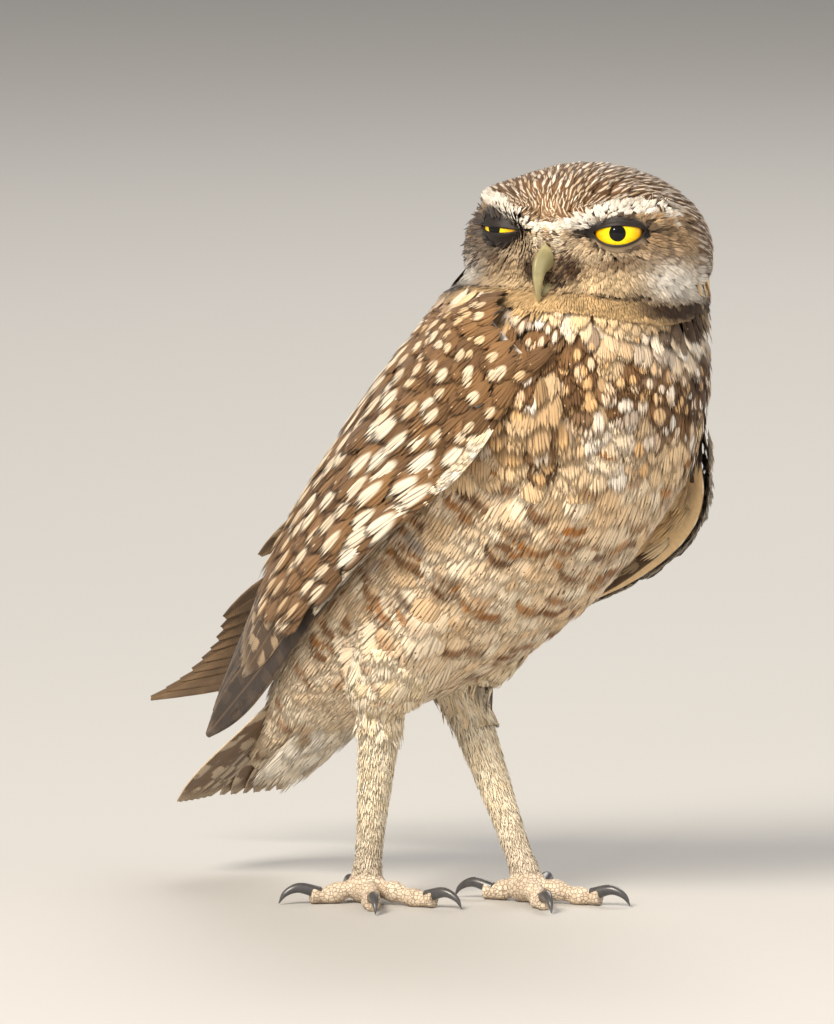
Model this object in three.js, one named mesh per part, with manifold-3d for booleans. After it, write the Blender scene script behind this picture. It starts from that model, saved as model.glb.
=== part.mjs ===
// A life-size standing burrowing owl, a still model. Millimetres, +Z up.
// The body looks along -Y, its left side is +X, and the head is turned over the right shoulder.
import * as THREE from "three";
import { mergeVertices } from "three/addons/utils/BufferGeometryUtils.js";
import Module from "manifold-3d";

const wasm = await Module();
wasm.setup();

// Driving dimensions
const GAP = 0.3; // clear space between touching pieces
const VANE_THICKNESS = 0.6;
const HEAD_TURN = 72; // degrees, from the body's forward direction to the bird's right
const HEAD_CENTRE = { left: 0, forward: 42, up: 175 };
const HEAD_HALF = { width: 32, front: 21, back: 30, top: 20, bottom: 23 };
const EYE = { ahead: 10.4, aside: 15, above: 3.4, radius: 8, splay: 20 };
const BILL = { baseAhead: 20, baseAbove: 1.5, reach: 29, drop: 15, halfWidth: 3.4 };
const TARSUS_TOP_RADIUS = 6;
const TARSUS_FOOT_RADIUS = 3.7;
const TOE_RADIUS = 2.9;
const CLAW_LENGTH = 9.5;
const TAIL_LENGTH = 80;

// Body sections from the undertail tip to the top of the neck: centre, half width, depth of back and of belly
const BODY = [
  { forward: -78, up: 31, side: 4, back: 3, belly: 3 },
  { forward: -63, up: 42, side: 12, back: 8, belly: 9 },
  { forward: -46, up: 57, side: 22, back: 16, belly: 16 },
  { forward: -27, up: 72, side: 30, back: 25, belly: 24 },
  { forward: -7, up: 89, side: 35, back: 33, belly: 31.5 },
  { forward: 12, up: 108, side: 37, back: 36, belly: 36.5 },
  { forward: 28, up: 129, side: 37, back: 36, belly: 40 },
  { forward: 38, up: 147, side: 35, back: 33, belly: 37 },
  { forward: 41, up: 158, side: 29, back: 27, belly: 30 },
  { forward: 42, up: 167, side: 19, back: 18, belly: 19 },
  { forward: 42, up: 176, side: 10, back: 10, belly: 10 },
];
const TORSO_TOP = { forward: 38, up: 149, tilt: 0.3 };
const NECK_TOP = { up: 157, tilt: 0.1 };

const place = (left, forward, up) => new THREE.Vector3(left, -forward, up);
const radians = THREE.MathUtils.degToRad;
const mix = THREE.MathUtils.lerp;
const smooth = THREE.MathUtils.smoothstep;
const bump = (x, width) => Math.exp(-((x / width) ** 2));

// Solids and meshes
function solidOf(points, faces) {
  const geometry = new THREE.BufferGeometry().setFromPoints(points).setIndex(faces);
  const merged = mergeVertices(geometry, 1e-4);
  const triVerts = new Uint32Array(merged.index.array);
  const kept = [];
  for (let i = 0; i < triVerts.length; i += 3) {
    const [a, b, c] = triVerts.subarray(i, i + 3);
    if (a !== b && b !== c && c !== a) kept.push(a, b, c);
  }
  const mesh = (order) =>
    new wasm.Mesh({
      numProp: 3,
      vertProperties: merged.attributes.position.array,
      triVerts: new Uint32Array(order),
    });
  const made = new wasm.Manifold(mesh(kept));
  return made.volume() > 0 ? made : new wasm.Manifold(mesh(kept.reverse()));
}

// Keeps the largest closed surface of a solid
function largest(solid) {
  const bodies = solid.decompose();
  return bodies.reduce((best, body) => (body.volume() > best.volume() ? body : best));
}

function meshOf(name, solid, material) {
  const { numProp, vertProperties, triVerts } = largest(solid).getMesh();
  const geometry = new THREE.BufferGeometry();
  geometry.setAttribute("position", new THREE.BufferAttribute(vertProperties, numProp));
  geometry.setIndex(new THREE.BufferAttribute(triVerts, 1));
  geometry.computeVertexNormals();
  const mesh = new THREE.Mesh(geometry, material);
  mesh.name = name;
  return mesh;
}

const union = (solids) => solids.reduce((all, one) => all.add(one));

// A closed skin over rings of equal count, each end closed by a fan to its middle
function loft(rings) {
  const count = rings[0].length;
  const points = rings.flat();
  const faces = [];
  for (let r = 0; r + 1 < rings.length; r++) {
    for (let i = 0; i < count; i++) {
      const a = r * count + i;
      const b = r * count + ((i + 1) % count);
      faces.push(a, b, b + count, a, b + count, a + count);
    }
  }
  for (const [ring, flip] of [[0, true], [rings.length - 1, false]]) {
    const middle = rings[ring].reduce((sum, p) => sum.add(p), new THREE.Vector3()).divideScalar(count);
    const tip = points.push(middle) - 1;
    for (let i = 0; i < count; i++) {
      const a = ring * count + i;
      const b = ring * count + ((i + 1) % count);
      faces.push(...(flip ? [b, a, tip] : [a, b, tip]));
    }
  }
  return solidOf(points, faces);
}

// A limb: a round tube along a path, with its radius given by a function of the share of its length
function limb(path, radius, { steps = 6, sides = 10, floor = -Infinity } = {}) {
  const curve = new THREE.CatmullRomCurve3(path);
  const rings = [];
  for (let s = 0; s <= steps; s++) {
    const share = s / steps;
    const centre = curve.getPoint(share);
    const along = curve.getTangent(share);
    const across = new THREE.Vector3(-along.y, along.x, 0);
    if (across.length() < 0.05) across.set(1, 0, 0);
    across.normalize();
    const over = new THREE.Vector3().crossVectors(along, across);
    const ring = [];
    for (let i = 0; i < sides; i++) {
      const turn = (2 * Math.PI * (i + 0.5)) / sides;
      const point = centre
        .clone()
        .addScaledVector(across, Math.cos(turn) * radius(share))
        .addScaledVector(over, Math.sin(turn) * radius(share));
      point.z = Math.max(point.z, floor);
      ring.push(point);
    }
    rings.push(ring);
  }
  return loft(rings);
}

// A box far larger than the owl on one side of a plane, to cut with
function halfSpace(point, normal) {
  const size = 400;
  const box = new THREE.BoxGeometry(size, size, size);
  box.translate(0, 0, size / 2);
  const turn = new THREE.Quaternion().setFromUnitVectors(new THREE.Vector3(0, 0, 1), normal.clone().normalize());
  box.applyQuaternion(turn).translate(point.x, point.y, point.z);
  const corners = [];
  const position = box.getAttribute("position");
  for (let i = 0; i < position.count; i++) corners.push(new THREE.Vector3().fromBufferAttribute(position, i));
  return solidOf(corners, [...box.index.array]);
}

// Body: one skin swept along the spine
const spine = new THREE.CatmullRomCurve3(BODY.map((s) => place(0, s.forward, s.up)));
const girths = new THREE.CatmullRomCurve3(BODY.map((s) => new THREE.Vector3(s.side, s.back, s.belly)));

function bodyFrame(share) {
  const along = spine.getTangent(share);
  const aside = new THREE.Vector3(1, 0, 0);
  return {
    centre: spine.getPoint(share),
    along,
    aside,
    over: new THREE.Vector3().crossVectors(along, aside),
    girth: girths.getPoint(share),
  };
}

function bodyPoint(share, turn, grow = 0) {
  const { centre, aside, over, girth } = bodyFrame(share);
  const depth = Math.sin(turn) > 0 ? girth.y : girth.z;
  return centre
    .addScaledVector(aside, Math.cos(turn) * (girth.x + grow))
    .addScaledVector(over, Math.sin(turn) * (depth + grow));
}

function bodySolid(grow = 0, steps = 22, sides = 28) {
  const rings = [];
  for (let s = 0; s <= steps; s++) {
    const ring = [];
    for (let i = 0; i < sides; i++) ring.push(bodyPoint(s / steps, (2 * Math.PI * i) / sides, grow));
    rings.push(ring);
  }
  return loft(rings);
}

// Moves a point that lies inside the body, or too near it, straight out from the spine
function outsideBody(point, clear) {
  let best = null;
  for (let s = 0; s <= 60; s++) {
    const frame = bodyFrame(s / 60);
    const offset = point.clone().sub(frame.centre);
    const miss = Math.abs(offset.dot(frame.along));
    if (offset.length() < 70 && (!best || miss < best.miss)) best = { miss, offset, frame };
  }
  if (!best || best.miss > 3) return point;
  const { offset, frame } = best;
  const x = offset.dot(frame.aside);
  const y = offset.dot(frame.over);
  const reach = Math.hypot(x / (frame.girth.x + clear), y / ((y > 0 ? frame.girth.y : frame.girth.z) + clear));
  if (reach >= 1 || reach < 0.05) return point;
  return point.clone().addScaledVector(frame.aside, x / reach - x).addScaledVector(frame.over, y / reach - y);
}

// Head: a rounded box of the head's half sizes, pressed and raised by the features of the face
const headForward = new THREE.Vector3(-Math.sin(radians(HEAD_TURN)), -Math.cos(radians(HEAD_TURN)), 0);
const headLeft = new THREE.Vector3(-headForward.y, headForward.x, 0);
const headCentre = place(HEAD_CENTRE.left, HEAD_CENTRE.forward, HEAD_CENTRE.up);

function onHead(ahead, left, above) {
  return headCentre
    .clone()
    .addScaledVector(headForward, ahead)
    .addScaledVector(headLeft, left)
    .add(new THREE.Vector3(0, 0, above));
}

function faceRelief(ahead, left, above) {
  if (ahead < 0) return 0;
  const aside = Math.abs(left);
  const fromEye = Math.hypot(aside - 17, above - EYE.above);
  const disc = -2.6 * bump(fromEye, 8.5);
  const rim = 1.3 * bump(Math.hypot((aside - 12) / 1.25, above + 2) - 17, 3);
  const browLine = above - (4.5 + 0.34 * aside);
  const brow = 3 * bump(browLine, 3.4) * smooth(aside, 2, 7) * (1 - smooth(aside, 22, 30));
  const lore = 2.4 * bump(aside, 6) * bump(above + 1, 9);
  const chin = 1.6 * bump(above + 16, 4) * bump(aside, 18);
  return (disc + rim + brow + lore + chin) * smooth(ahead, 0, 10);
}

function headPoint(azimuth, height, grow) {
  const roundness = 2.1;
  const dir = {
    ahead: Math.cos(height) * Math.cos(azimuth),
    left: Math.cos(height) * Math.sin(azimuth),
    above: Math.sin(height),
  };
  const half = {
    ahead: dir.ahead > 0 ? HEAD_HALF.front : HEAD_HALF.back,
    above: dir.above > 0 ? HEAD_HALF.top : HEAD_HALF.bottom,
  };
  const size =
    (Math.abs(dir.ahead / half.ahead) ** roundness +
      Math.abs(dir.left / (HEAD_HALF.width * (1 - 0.18 * dir.above))) ** roundness +
      Math.abs(dir.above / half.above) ** roundness) **
    (-1 / roundness);
  const relief = faceRelief(dir.ahead * size, dir.left * size, dir.above * size);
  const reach = size + relief + grow;
  return onHead(dir.ahead * reach, dir.left * reach, dir.above * reach);
}

function headSolid(grow = 0, around = 36, levels = 16) {
  const rings = [];
  for (let v = 1; v < levels; v++) {
    const ring = [];
    for (let i = 0; i < around; i++) {
      ring.push(headPoint((2 * Math.PI * i) / around, mix(-Math.PI / 2, Math.PI / 2, v / levels), grow));
    }
    rings.push(ring);
  }
  return loft(rings);
}

// Eyes: a ball behind two lids that leave a half-closed, almond opening
const eyeFrame = (side) => {
  const turn = radians(EYE.splay) * side;
  const forward = headForward.clone().multiplyScalar(Math.cos(turn)).addScaledVector(headLeft, Math.sin(turn));
  const across = headLeft.clone().multiplyScalar(Math.cos(turn)).addScaledVector(headForward, -Math.sin(turn));
  return { centre: onHead(EYE.ahead, side * EYE.aside, EYE.above), forward, across: across.multiplyScalar(side) };
};

function ball(centre, radius, around = 16, levels = 10) {
  const rings = [];
  for (let v = 1; v < levels; v++) {
    const height = mix(-Math.PI / 2, Math.PI / 2, v / levels);
    const ring = [];
    for (let i = 0; i < around; i++) {
      const turn = (2 * Math.PI * i) / around;
      ring.push(
        centre
          .clone()
          .add(
            new THREE.Vector3(
              Math.cos(height) * Math.cos(turn),
              Math.cos(height) * Math.sin(turn),
              Math.sin(height),
            ).multiplyScalar(radius),
          ),
      );
    }
    rings.push(ring);
  }
  return loft(rings);
}

// The opening between the lids: an almond that widens outwards from the ball's centre
function lidOpening({ centre, forward, across }) {
  const sides = 14;
  const rings = [0.35, 1.9].map((reach) => {
    const ring = [];
    for (let i = 0; i < sides; i++) {
      const turn = (2 * Math.PI * i) / sides;
      const width = 6.6 * Math.cos(turn) + 0.6;
      const height = (Math.sin(turn) > 0 ? 2.6 : 4.2) * Math.sin(turn) * Math.abs(Math.sin(turn)) ** 0.15;
      ring.push(
        centre
          .clone()
          .addScaledVector(forward, reach * 7)
          .addScaledVector(across, width * reach)
          .add(new THREE.Vector3(0, 0, (height - 0.4) * reach)),
      );
    }
    return ring;
  });
  return loft(rings);
}

// Bill: a hooked upper half that closes over a shorter lower half
function billHalf(upper) {
  const path = upper
    ? [
        onHead(BILL.baseAhead - 3, 0, BILL.baseAbove - 1),
        onHead(BILL.baseAhead + 2.2, 0, BILL.baseAbove - 3.2),
        onHead(BILL.reach - 2.2, 0, -4.5),
        onHead(BILL.reach - 1.2, 0, -10),
        onHead(BILL.reach - 2.6, 0, -BILL.drop),
      ]
    : [
        onHead(BILL.baseAhead - 3, 0, -8.5),
        onHead(BILL.baseAhead + 2.4, 0, -10),
        onHead(BILL.baseAhead + 5.4, 0, -11.6),
      ];
  const curve = new THREE.CatmullRomCurve3(path);
  const steps = upper ? 8 : 4;
  const sides = 10;
  const rings = [];
  for (let s = 0; s <= steps; s++) {
    const share = s / steps;
    const centre = curve.getPoint(share);
    const over = new THREE.Vector3().crossVectors(curve.getTangent(share), headLeft);
    const taper = upper ? (1 - share ** 1.8) * (0.78 + 0.5 * bump(share - 0.3, 0.3)) : 1 - 0.75 * share;
    const half = Math.max(BILL.halfWidth * taper * (upper ? 1 : 0.66), 0.3);
    const ring = [];
    for (let i = 0; i < sides; i++) {
      const turn = (2 * Math.PI * i) / sides;
      ring.push(
        centre
          .clone()
          .addScaledVector(headLeft, Math.cos(turn) * half)
          .addScaledVector(over, -Math.sin(turn) * half * (upper ? 0.95 : 0.6)),
      );
    }
    rings.push(ring);
  }
  return loft(rings);
}

function nostril(side) {
  return limb([onHead(BILL.baseAhead + 2.4, side * 0.9, -0.8), onHead(BILL.baseAhead + 4.4, side * 4.5, 0.2)], () => 0.75, {
    steps: 1,
    sides: 8,
  });
}

// Wings: each is a cambered blade between a leading and a dorsal edge, draped over the body
const WINGS = {
  right: {
    side: -1,
    bulge: 15,
    leading: [
      [36, 54, 141],
      [42, 40, 119],
      [44.5, 14, 100],
      [40, -12, 81],
      [27, -46, 58.5],
      [8, -88, 36],
    ],
    dorsal: [
      [14, 20, 160],
      [8, -8, 147],
      [4, -34, 120],
      [2, -58, 92],
      [2, -76, 65],
      [3, -90, 40],
    ],
  },
  left: {
    side: 1,
    bulge: 15,
    leading: [
      [40, 46, 125],
      [50, 34, 99],
      [51, 12, 82],
      [43, -30, 66],
      [29, -76, 55],
      [11, -132, 40],
    ],
    dorsal: [
      [14, 20, 160],
      [8, -8, 147],
      [5, -36, 121],
      [4, -66, 98],
      [6, -96, 76],
      [9, -126, 50],
    ],
  },
};

function wingSurface({ side, bulge, leading, dorsal }) {
  const edge = (points) => new THREE.CatmullRomCurve3(points.map(([out, forward, up]) => place(side * out, forward, up)));
  const low = edge(leading);
  const high = edge(dorsal);
  const raw = (a, b) => {
    const from = low.getPoint(a);
    const to = high.getPoint(a);
    const along = low.getTangent(a).add(high.getTangent(a)).normalize();
    const chord = to.clone().sub(from);
    const out = new THREE.Vector3().crossVectors(along, chord).normalize().multiplyScalar(side);
    return from.addScaledVector(chord, b).addScaledVector(out, bulge * (1 - 0.8 * a) * Math.sin(Math.PI * b) ** 0.8);
  };
  const at = (a, b) => outsideBody(raw(THREE.MathUtils.clamp(a, 0, 1), THREE.MathUtils.clamp(b, 0, 1)), 2.2);
  const normal = (a, b) => {
    const step = 0.02;
    const alongA = at(Math.min(a + step, 1), b).sub(at(Math.max(a - step, 0), b));
    const alongB = at(a, Math.min(b + step, 1)).sub(at(a, Math.max(b - step, 0)));
    return alongA.cross(alongB).normalize().multiplyScalar(side);
  };
  return { at, normal };
}

// A closed slab on a wing's surface between two heights, to carry the vanes
function wingCore(surface, { from, to, low, high, thickness }, rows = 9, columns = 6) {
  const points = [];
  const faces = [];
  const index = (r, c, face) => 2 * (r * columns + c) + face;
  for (let r = 0; r < rows; r++) {
    for (let c = 0; c < columns; c++) {
      const a = mix(from, to, r / (rows - 1));
      const b = mix(low, high, c / (columns - 1));
      const normal = surface.normal(a, b);
      const rim = Math.min(r, rows - 1 - r, c, columns - 1 - c) === 0 ? 0.45 : 1;
      const point = surface.at(a, b);
      points.push(point.clone().addScaledVector(normal, 0.3 * thickness * rim));
      points.push(point.clone().addScaledVector(normal, -0.7 * thickness * rim));
    }
  }
  const quad = (p, q, s, t) => faces.push(p, q, s, p, s, t);
  for (let r = 0; r + 1 < rows; r++) {
    for (let c = 0; c + 1 < columns; c++) {
      quad(index(r, c, 0), index(r, c + 1, 0), index(r + 1, c + 1, 0), index(r + 1, c, 0));
      faces.push(index(r, c, 1), index(r + 1, c + 1, 1), index(r, c + 1, 1));
      faces.push(index(r, c, 1), index(r + 1, c, 1), index(r + 1, c + 1, 1));
    }
  }
  for (let r = 0; r + 1 < rows; r++) {
    quad(index(r, 0, 0), index(r + 1, 0, 0), index(r + 1, 0, 1), index(r, 0, 1));
    quad(index(r + 1, columns - 1, 0), index(r, columns - 1, 0), index(r, columns - 1, 1), index(r + 1, columns - 1, 1));
  }
  for (let c = 0; c + 1 < columns; c++) {
    quad(index(0, c + 1, 0), index(0, c, 0), index(0, c, 1), index(0, c + 1, 1));
    quad(index(rows - 1, c, 0), index(rows - 1, c + 1, 0), index(rows - 1, c + 1, 1), index(rows - 1, c, 1));
  }
  return solidOf(points, faces);
}

// One vane: sections across a spine line, each a ridge over the quill between two edges, flat beneath
function vane(sections) {
  const points = [];
  const faces = [];
  for (const { middle, across, up, halfWidth, thickness, fold = 0.25, tilt = 0 } of sections) {
    const corner = (side, lift) =>
      points.push(middle.clone().addScaledVector(across, side * halfWidth).addScaledVector(up, lift + side * tilt));
    corner(-1, 0);
    corner(0, fold);
    corner(1, 0);
    corner(1, -thickness);
    corner(-1, -thickness);
  }
  const sides = 5;
  const last = (sections.length - 1) * sides;
  for (let r = 0; r < last; r += sides) {
    for (let i = 0; i < sides; i++) {
      const [a, b] = [r + i, r + ((i + 1) % sides)];
      faces.push(a, b, b + sides, a, b + sides, a + sides);
    }
  }
  for (let i = 1; i + 1 < sides; i++) faces.push(0, i + 1, i, last, last + i, last + i + 1);
  return solidOf(points, faces);
}

// The outline of a vane: narrow at the quill, full along its length, rounded at its tip
const vaneOutline = (share) => (0.5 + 0.5 * smooth(share, 0, 0.3)) * Math.sqrt(Math.max(1 - smooth(share, 0.72, 1.06) ** 1.5, 0.06));

// Tiers of vanes on a wing, from the lowest layer up: roots, tips and widths in shares of the wing's surface
const TIERS = [
  { name: "primaries", count: 6, root: [[0.34, 0.14], [0.36, 0.44]], tip: [[1, 0.24], [0.86, 0.74]], half: 5.4, lift: 0.3, step: 1.1 },
  { name: "secondaries", count: 6, root: [[0.28, 0.26], [0.18, 0.72]], tip: [[0.8, 0.24], [0.7, 0.92]], half: 6.4, lift: 1.1, step: 1 },
  { name: "primary_coverts", count: 2, root: [[0.1, 0.06], [0.2, 0.2]], tip: [[0.45, 0.08], [0.5, 0.22]], half: 5.4, lift: 1, step: 0.7 },
  { name: "greater_coverts", count: 6, root: [[0.14, 0.16], [0.12, 0.78]], tip: [[0.52, 0.24], [0.5, 0.86]], half: 6.6, lift: 1.9, step: 0.9 },
  { name: "median_coverts", count: 5, root: [[0.04, 0.14], [0.03, 0.66]], tip: [[0.34, 0.2], [0.34, 0.74]], half: 7, lift: 2.6, step: 0.9 },
  { name: "scapulars", count: 4, root: [[0.03, 0.66], [0.03, 0.92]], tip: [[0.42, 0.72], [0.48, 0.94]], half: 7, lift: 3.2, step: 0.8 },
];

function tierVanes(surface, side, tier) {
  const vanes = [];
  for (let i = 0; i < tier.count; i++) {
    const share = i / (tier.count - 1);
    const rootA = mix(tier.root[0][0], tier.root[1][0], share);
    const rootB = mix(tier.root[0][1], tier.root[1][1], share);
    const tipA = mix(tier.tip[0][0], tier.tip[1][0], share);
    const tipB = mix(tier.tip[0][1], tier.tip[1][1], share);
    const sections = [];
    const steps = 4;
    for (let s = 0; s <= steps; s++) {
      const t = s / steps;
      const a = mix(rootA, tipA, t);
      const b = mix(rootB, tipB, t);
      const up = surface.normal(a, b);
      const ahead = surface.at(Math.min(a + 0.03, 1), b + 0.03 * (tipB - rootB) / (tipA - rootA));
      const behind = surface.at(a - 0.03, b - 0.03 * (tipB - rootB) / (tipA - rootA));
      const across = new THREE.Vector3().crossVectors(up, ahead.sub(behind).normalize()).multiplyScalar(-side);
      const rise = mix(-1.3, tier.lift, smooth(t, 0, 0.55)) + 0.08 * i;
      sections.push({
        middle: surface.at(a, b).addScaledVector(up, rise),
        across,
        up,
        halfWidth: tier.half * vaneOutline(t),
        thickness: mix(1.5, VANE_THICKNESS, smooth(t, 0.1, 0.7)),
        tilt: tier.step * smooth(t, 0, 0.5),
      });
    }
    vanes.push(vane(sections));
  }
  return vanes;
}

function wingSolid(wing) {
  const surface = wingSurface(wing);
  const core = wingCore(surface, { from: 0, to: 0.66, low: 0.02, high: 0.98, thickness: 3.2 });
  const vanes = TIERS.flatMap((tier) => tierVanes(surface, wing.side, tier));
  return union([core, ...vanes]);
}

// Tail: a fan of feathers, the middle pair on top
const TAIL = { rootForward: -36, rootUp: 74, pitch: 43, pairs: 5, spread: 11, half: 5.4 };

function tailSolid() {
  const down = radians(TAIL.pitch);
  const along = place(0, -Math.cos(down), -Math.sin(down));
  const up = place(0, -Math.sin(down), Math.cos(down));
  const root = place(0, TAIL.rootForward, TAIL.rootUp);
  const feathers = [];
  for (let pair = 0; pair < TAIL.pairs; pair++) {
    for (const side of [-1, 1]) {
      const turn = radians((TAIL.spread * (pair + 0.5)) / TAIL.pairs) * side;
      const line = along.clone().multiplyScalar(Math.cos(turn)).add(place(Math.sin(turn), 0, 0));
      const across = place(Math.cos(turn), 0, 0).addScaledVector(along, -Math.sin(turn));
      const steps = 5;
      const sections = [];
      for (let s = 0; s <= steps; s++) {
        const t = s / steps;
        const reach = mix(8, TAIL_LENGTH - 0.7 * pair, t);
        sections.push({
          middle: root
            .clone()
            .add(place(side * (1.2 + 0.9 * pair), 0, 0))
            .addScaledVector(line, reach)
            .addScaledVector(up, -0.75 * pair * smooth(t, 0, 0.4)),
          across,
          up,
          halfWidth: TAIL.half * vaneOutline(t),
          thickness: mix(2.4, VANE_THICKNESS, smooth(t, 0.1, 0.8)),
          tilt: -side * 0.2,
        });
      }
      feathers.push(vane(sections));
    }
  }
  const stump = limb(
    [root.clone().addScaledVector(along, 4), root.clone().addScaledVector(along, 30).addScaledVector(up, -1)],
    (share) => mix(7, 4, share),
    { steps: 3, sides: 12 },
  );
  return union([stump, ...feathers]);
}

// Legs and feet: heel, foot and thigh places, and each toe's direction on the ground and length
const LEGS = {
  right: {
    hip: [-20, 2, 84],
    heel: [-17.5, -15, 52],
    foot: [-18, -20, 6],
    toes: [
      { turn: -40, length: 19 },
      { turn: 12, length: 21 },
      { turn: -122, length: 15 },
      { turn: 152, length: 12 },
    ],
  },
  left: {
    hip: [20, -4, 84],
    heel: [13, -17, 54],
    foot: [13, 8, 6],
    toes: [
      { turn: -32, length: 19 },
      { turn: 20, length: 21 },
      { turn: 118, length: 15 },
      { turn: -158, length: 12 },
    ],
  },
};

const legJoint = ([left, forward, up]) => place(left, forward, up);

function thighSolid(leg, grow = 0) {
  const [hip, heel] = [legJoint(leg.hip), legJoint(leg.heel)];
  return limb(
    [hip, hip.clone().lerp(heel, 0.55), heel.clone().add(new THREE.Vector3(0, 0, 2))],
    (share) => mix(19, TARSUS_TOP_RADIUS + 1.4, smooth(share, 0, 1)) + grow,
    { steps: 6, sides: 14 },
  );
}

function legSolids(name, leg) {
  const [heel, foot] = [legJoint(leg.heel), legJoint(leg.foot)];
  const shankAt = (grow) =>
    limb(
      [heel, heel.clone().lerp(foot, 0.5).add(new THREE.Vector3(0, 0.6, 0)), foot],
      (share) => mix(TARSUS_TOP_RADIUS, TARSUS_FOOT_RADIUS, smooth(share, 0, 0.8)) + 0.5 * smooth(share, 0.85, 1) + grow,
      { steps: 7, sides: 12 },
    );
  const padCentre = foot.clone().setZ(4.2);
  const padAt = (grow) => {
    const pad = ball(padCentre, 5.4 + grow, 14, 8);
    return pad.intersect(halfSpace(new THREE.Vector3(0, 0, 0), new THREE.Vector3(0, 0, 1)));
  };
  const made = {
    [`thigh_${name}`]: thighSolid(leg).subtract(bodySolid(GAP)),
    [`leg_${name}`]: shankAt(0).subtract(union([thighSolid(leg, GAP), bodySolid(GAP)])),
    [`foot_${name}`]: padAt(0).subtract(shankAt(GAP)),
  };
  const taken = [padAt(GAP), shankAt(GAP)];
  leg.toes.forEach(({ turn, length }, i) => {
    const toward = place(Math.sin(radians(turn)), Math.cos(radians(turn)), 0);
    const joint = (reach, up) => padCentre.clone().setZ(up).addScaledVector(toward, reach);
    const toeAt = (grow) =>
      limb(
        [joint(2, 4), joint(length * 0.4, 3.4), joint(length * 0.72, 2.1), joint(length, 2.3)],
        (share) => TOE_RADIUS * (1 - 0.22 * share) * (1 + 0.1 * Math.cos(share * 4 * Math.PI)) + grow,
        { steps: 7, sides: 8, floor: 0 },
      );
    const claw = limb(
      [
        joint(length - 2.5, 2.8),
        joint(length + CLAW_LENGTH * 0.35, 4.2),
        joint(length + CLAW_LENGTH * 0.72, 2.7),
        joint(length + CLAW_LENGTH * 0.88, 0.35),
      ],
      (share) => mix(1.35, 0.3, share),
      { steps: 4, sides: 6, floor: 0.05 },
    );
    made[`toe_${name}_${i + 1}`] = toeAt(0).subtract(union(taken));
    made[`claw_${name}_${i + 1}`] = claw.subtract(toeAt(GAP));
    taken.push(toeAt(GAP));
  });
  return made;
}

// Materials
const finish = (color, roughness) => new THREE.MeshStandardMaterial({ color, roughness, metalness: 0 });
const MATERIALS = {
  brown: finish(0x8a6a48, 0.9),
  cream: finish(0xd9c4a0, 0.9),
  face: finish(0x9c8264, 0.9),
  leg: finish(0xc9bda4, 0.9),
  toe: finish(0xa89a84, 0.85),
  horn: finish(0x9a9868, 0.45),
  claw: finish(0x3c3d40, 0.4),
  eye: finish(0xe8c000, 0.1),
};

// Assembly
const owl = new THREE.Group();
const whole = union([bodySolid(), headSolid()]);
const topOfTorso = place(0, TORSO_TOP.forward, TORSO_TOP.up);
const torsoCut = place(0, TORSO_TOP.tilt, 1).normalize();
const neckTop = place(0, HEAD_CENTRE.forward, NECK_TOP.up);
const neckCut = new THREE.Vector3(0, 0, 1).addScaledVector(headForward, -NECK_TOP.tilt).normalize();
const above = (point, normal, shift) => halfSpace(point.clone().addScaledVector(normal, shift), normal);

const torso = whole.subtract(above(topOfTorso, torsoCut, 0));
const neck = whole.intersect(above(topOfTorso, torsoCut, GAP)).subtract(above(neckTop, neckCut, 0));
const upperBill = billHalf(true).subtract(union([nostril(-1), nostril(1)]));
const lowerBill = billHalf(false);
let head = whole.intersect(above(topOfTorso, torsoCut, GAP)).intersect(above(neckTop, neckCut, GAP));
for (const side of [-1, 1]) {
  const frame = eyeFrame(side);
  head = head
    .add(ball(frame.centre, EYE.radius + 1.1, 14, 9))
    .subtract(lidOpening(frame))
    .subtract(ball(frame.centre, EYE.radius + GAP, 14, 9));
}

owl.add(meshOf("torso", torso, MATERIALS.cream));
owl.add(meshOf("neck", neck, MATERIALS.brown));
owl.add(meshOf("head", head, MATERIALS.face));
owl.add(meshOf("bill_upper", upperBill.subtract(head), MATERIALS.horn));
owl.add(meshOf("bill_lower", lowerBill.subtract(head), MATERIALS.horn));
for (const [name, side] of [["right", -1], ["left", 1]]) {
  owl.add(meshOf(`eye_${name}`, ball(eyeFrame(side).centre, EYE.radius), MATERIALS.eye));
}
const keepClear = union([bodySolid(GAP), headSolid(GAP), ...Object.values(LEGS).map((leg) => thighSolid(leg, GAP))]);
for (const [name, wing] of Object.entries(WINGS)) {
  owl.add(meshOf(`wing_${name}`, wingSolid(wing).subtract(keepClear), MATERIALS.brown));
}
owl.add(meshOf("tail", tailSolid().subtract(keepClear), MATERIALS.brown));
for (const [name, leg] of Object.entries(LEGS)) {
  for (const [node, solid] of Object.entries(legSolids(name, leg))) {
    const kind = node.split("_")[0];
    const material = { claw: MATERIALS.claw, toe: MATERIALS.toe, foot: MATERIALS.toe }[kind] || MATERIALS.leg;
    owl.add(meshOf(node, solid, material));
  }
}

// The origin lies on the floor under the middle of the owl's bounding box
const bounds = new THREE.Box3().setFromObject(owl);
const middle = bounds.getCenter(new THREE.Vector3());
owl.position.set(-middle.x, -middle.y, -bounds.min.z);

export default owl;
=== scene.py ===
"""A life-size burrowing owl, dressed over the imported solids.

Shapes are worked out in the part's own millimetres (x to the owl's left, y backwards, z up) and turned
into metres of the shared frame when a mesh is made.
"""
import math

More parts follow.
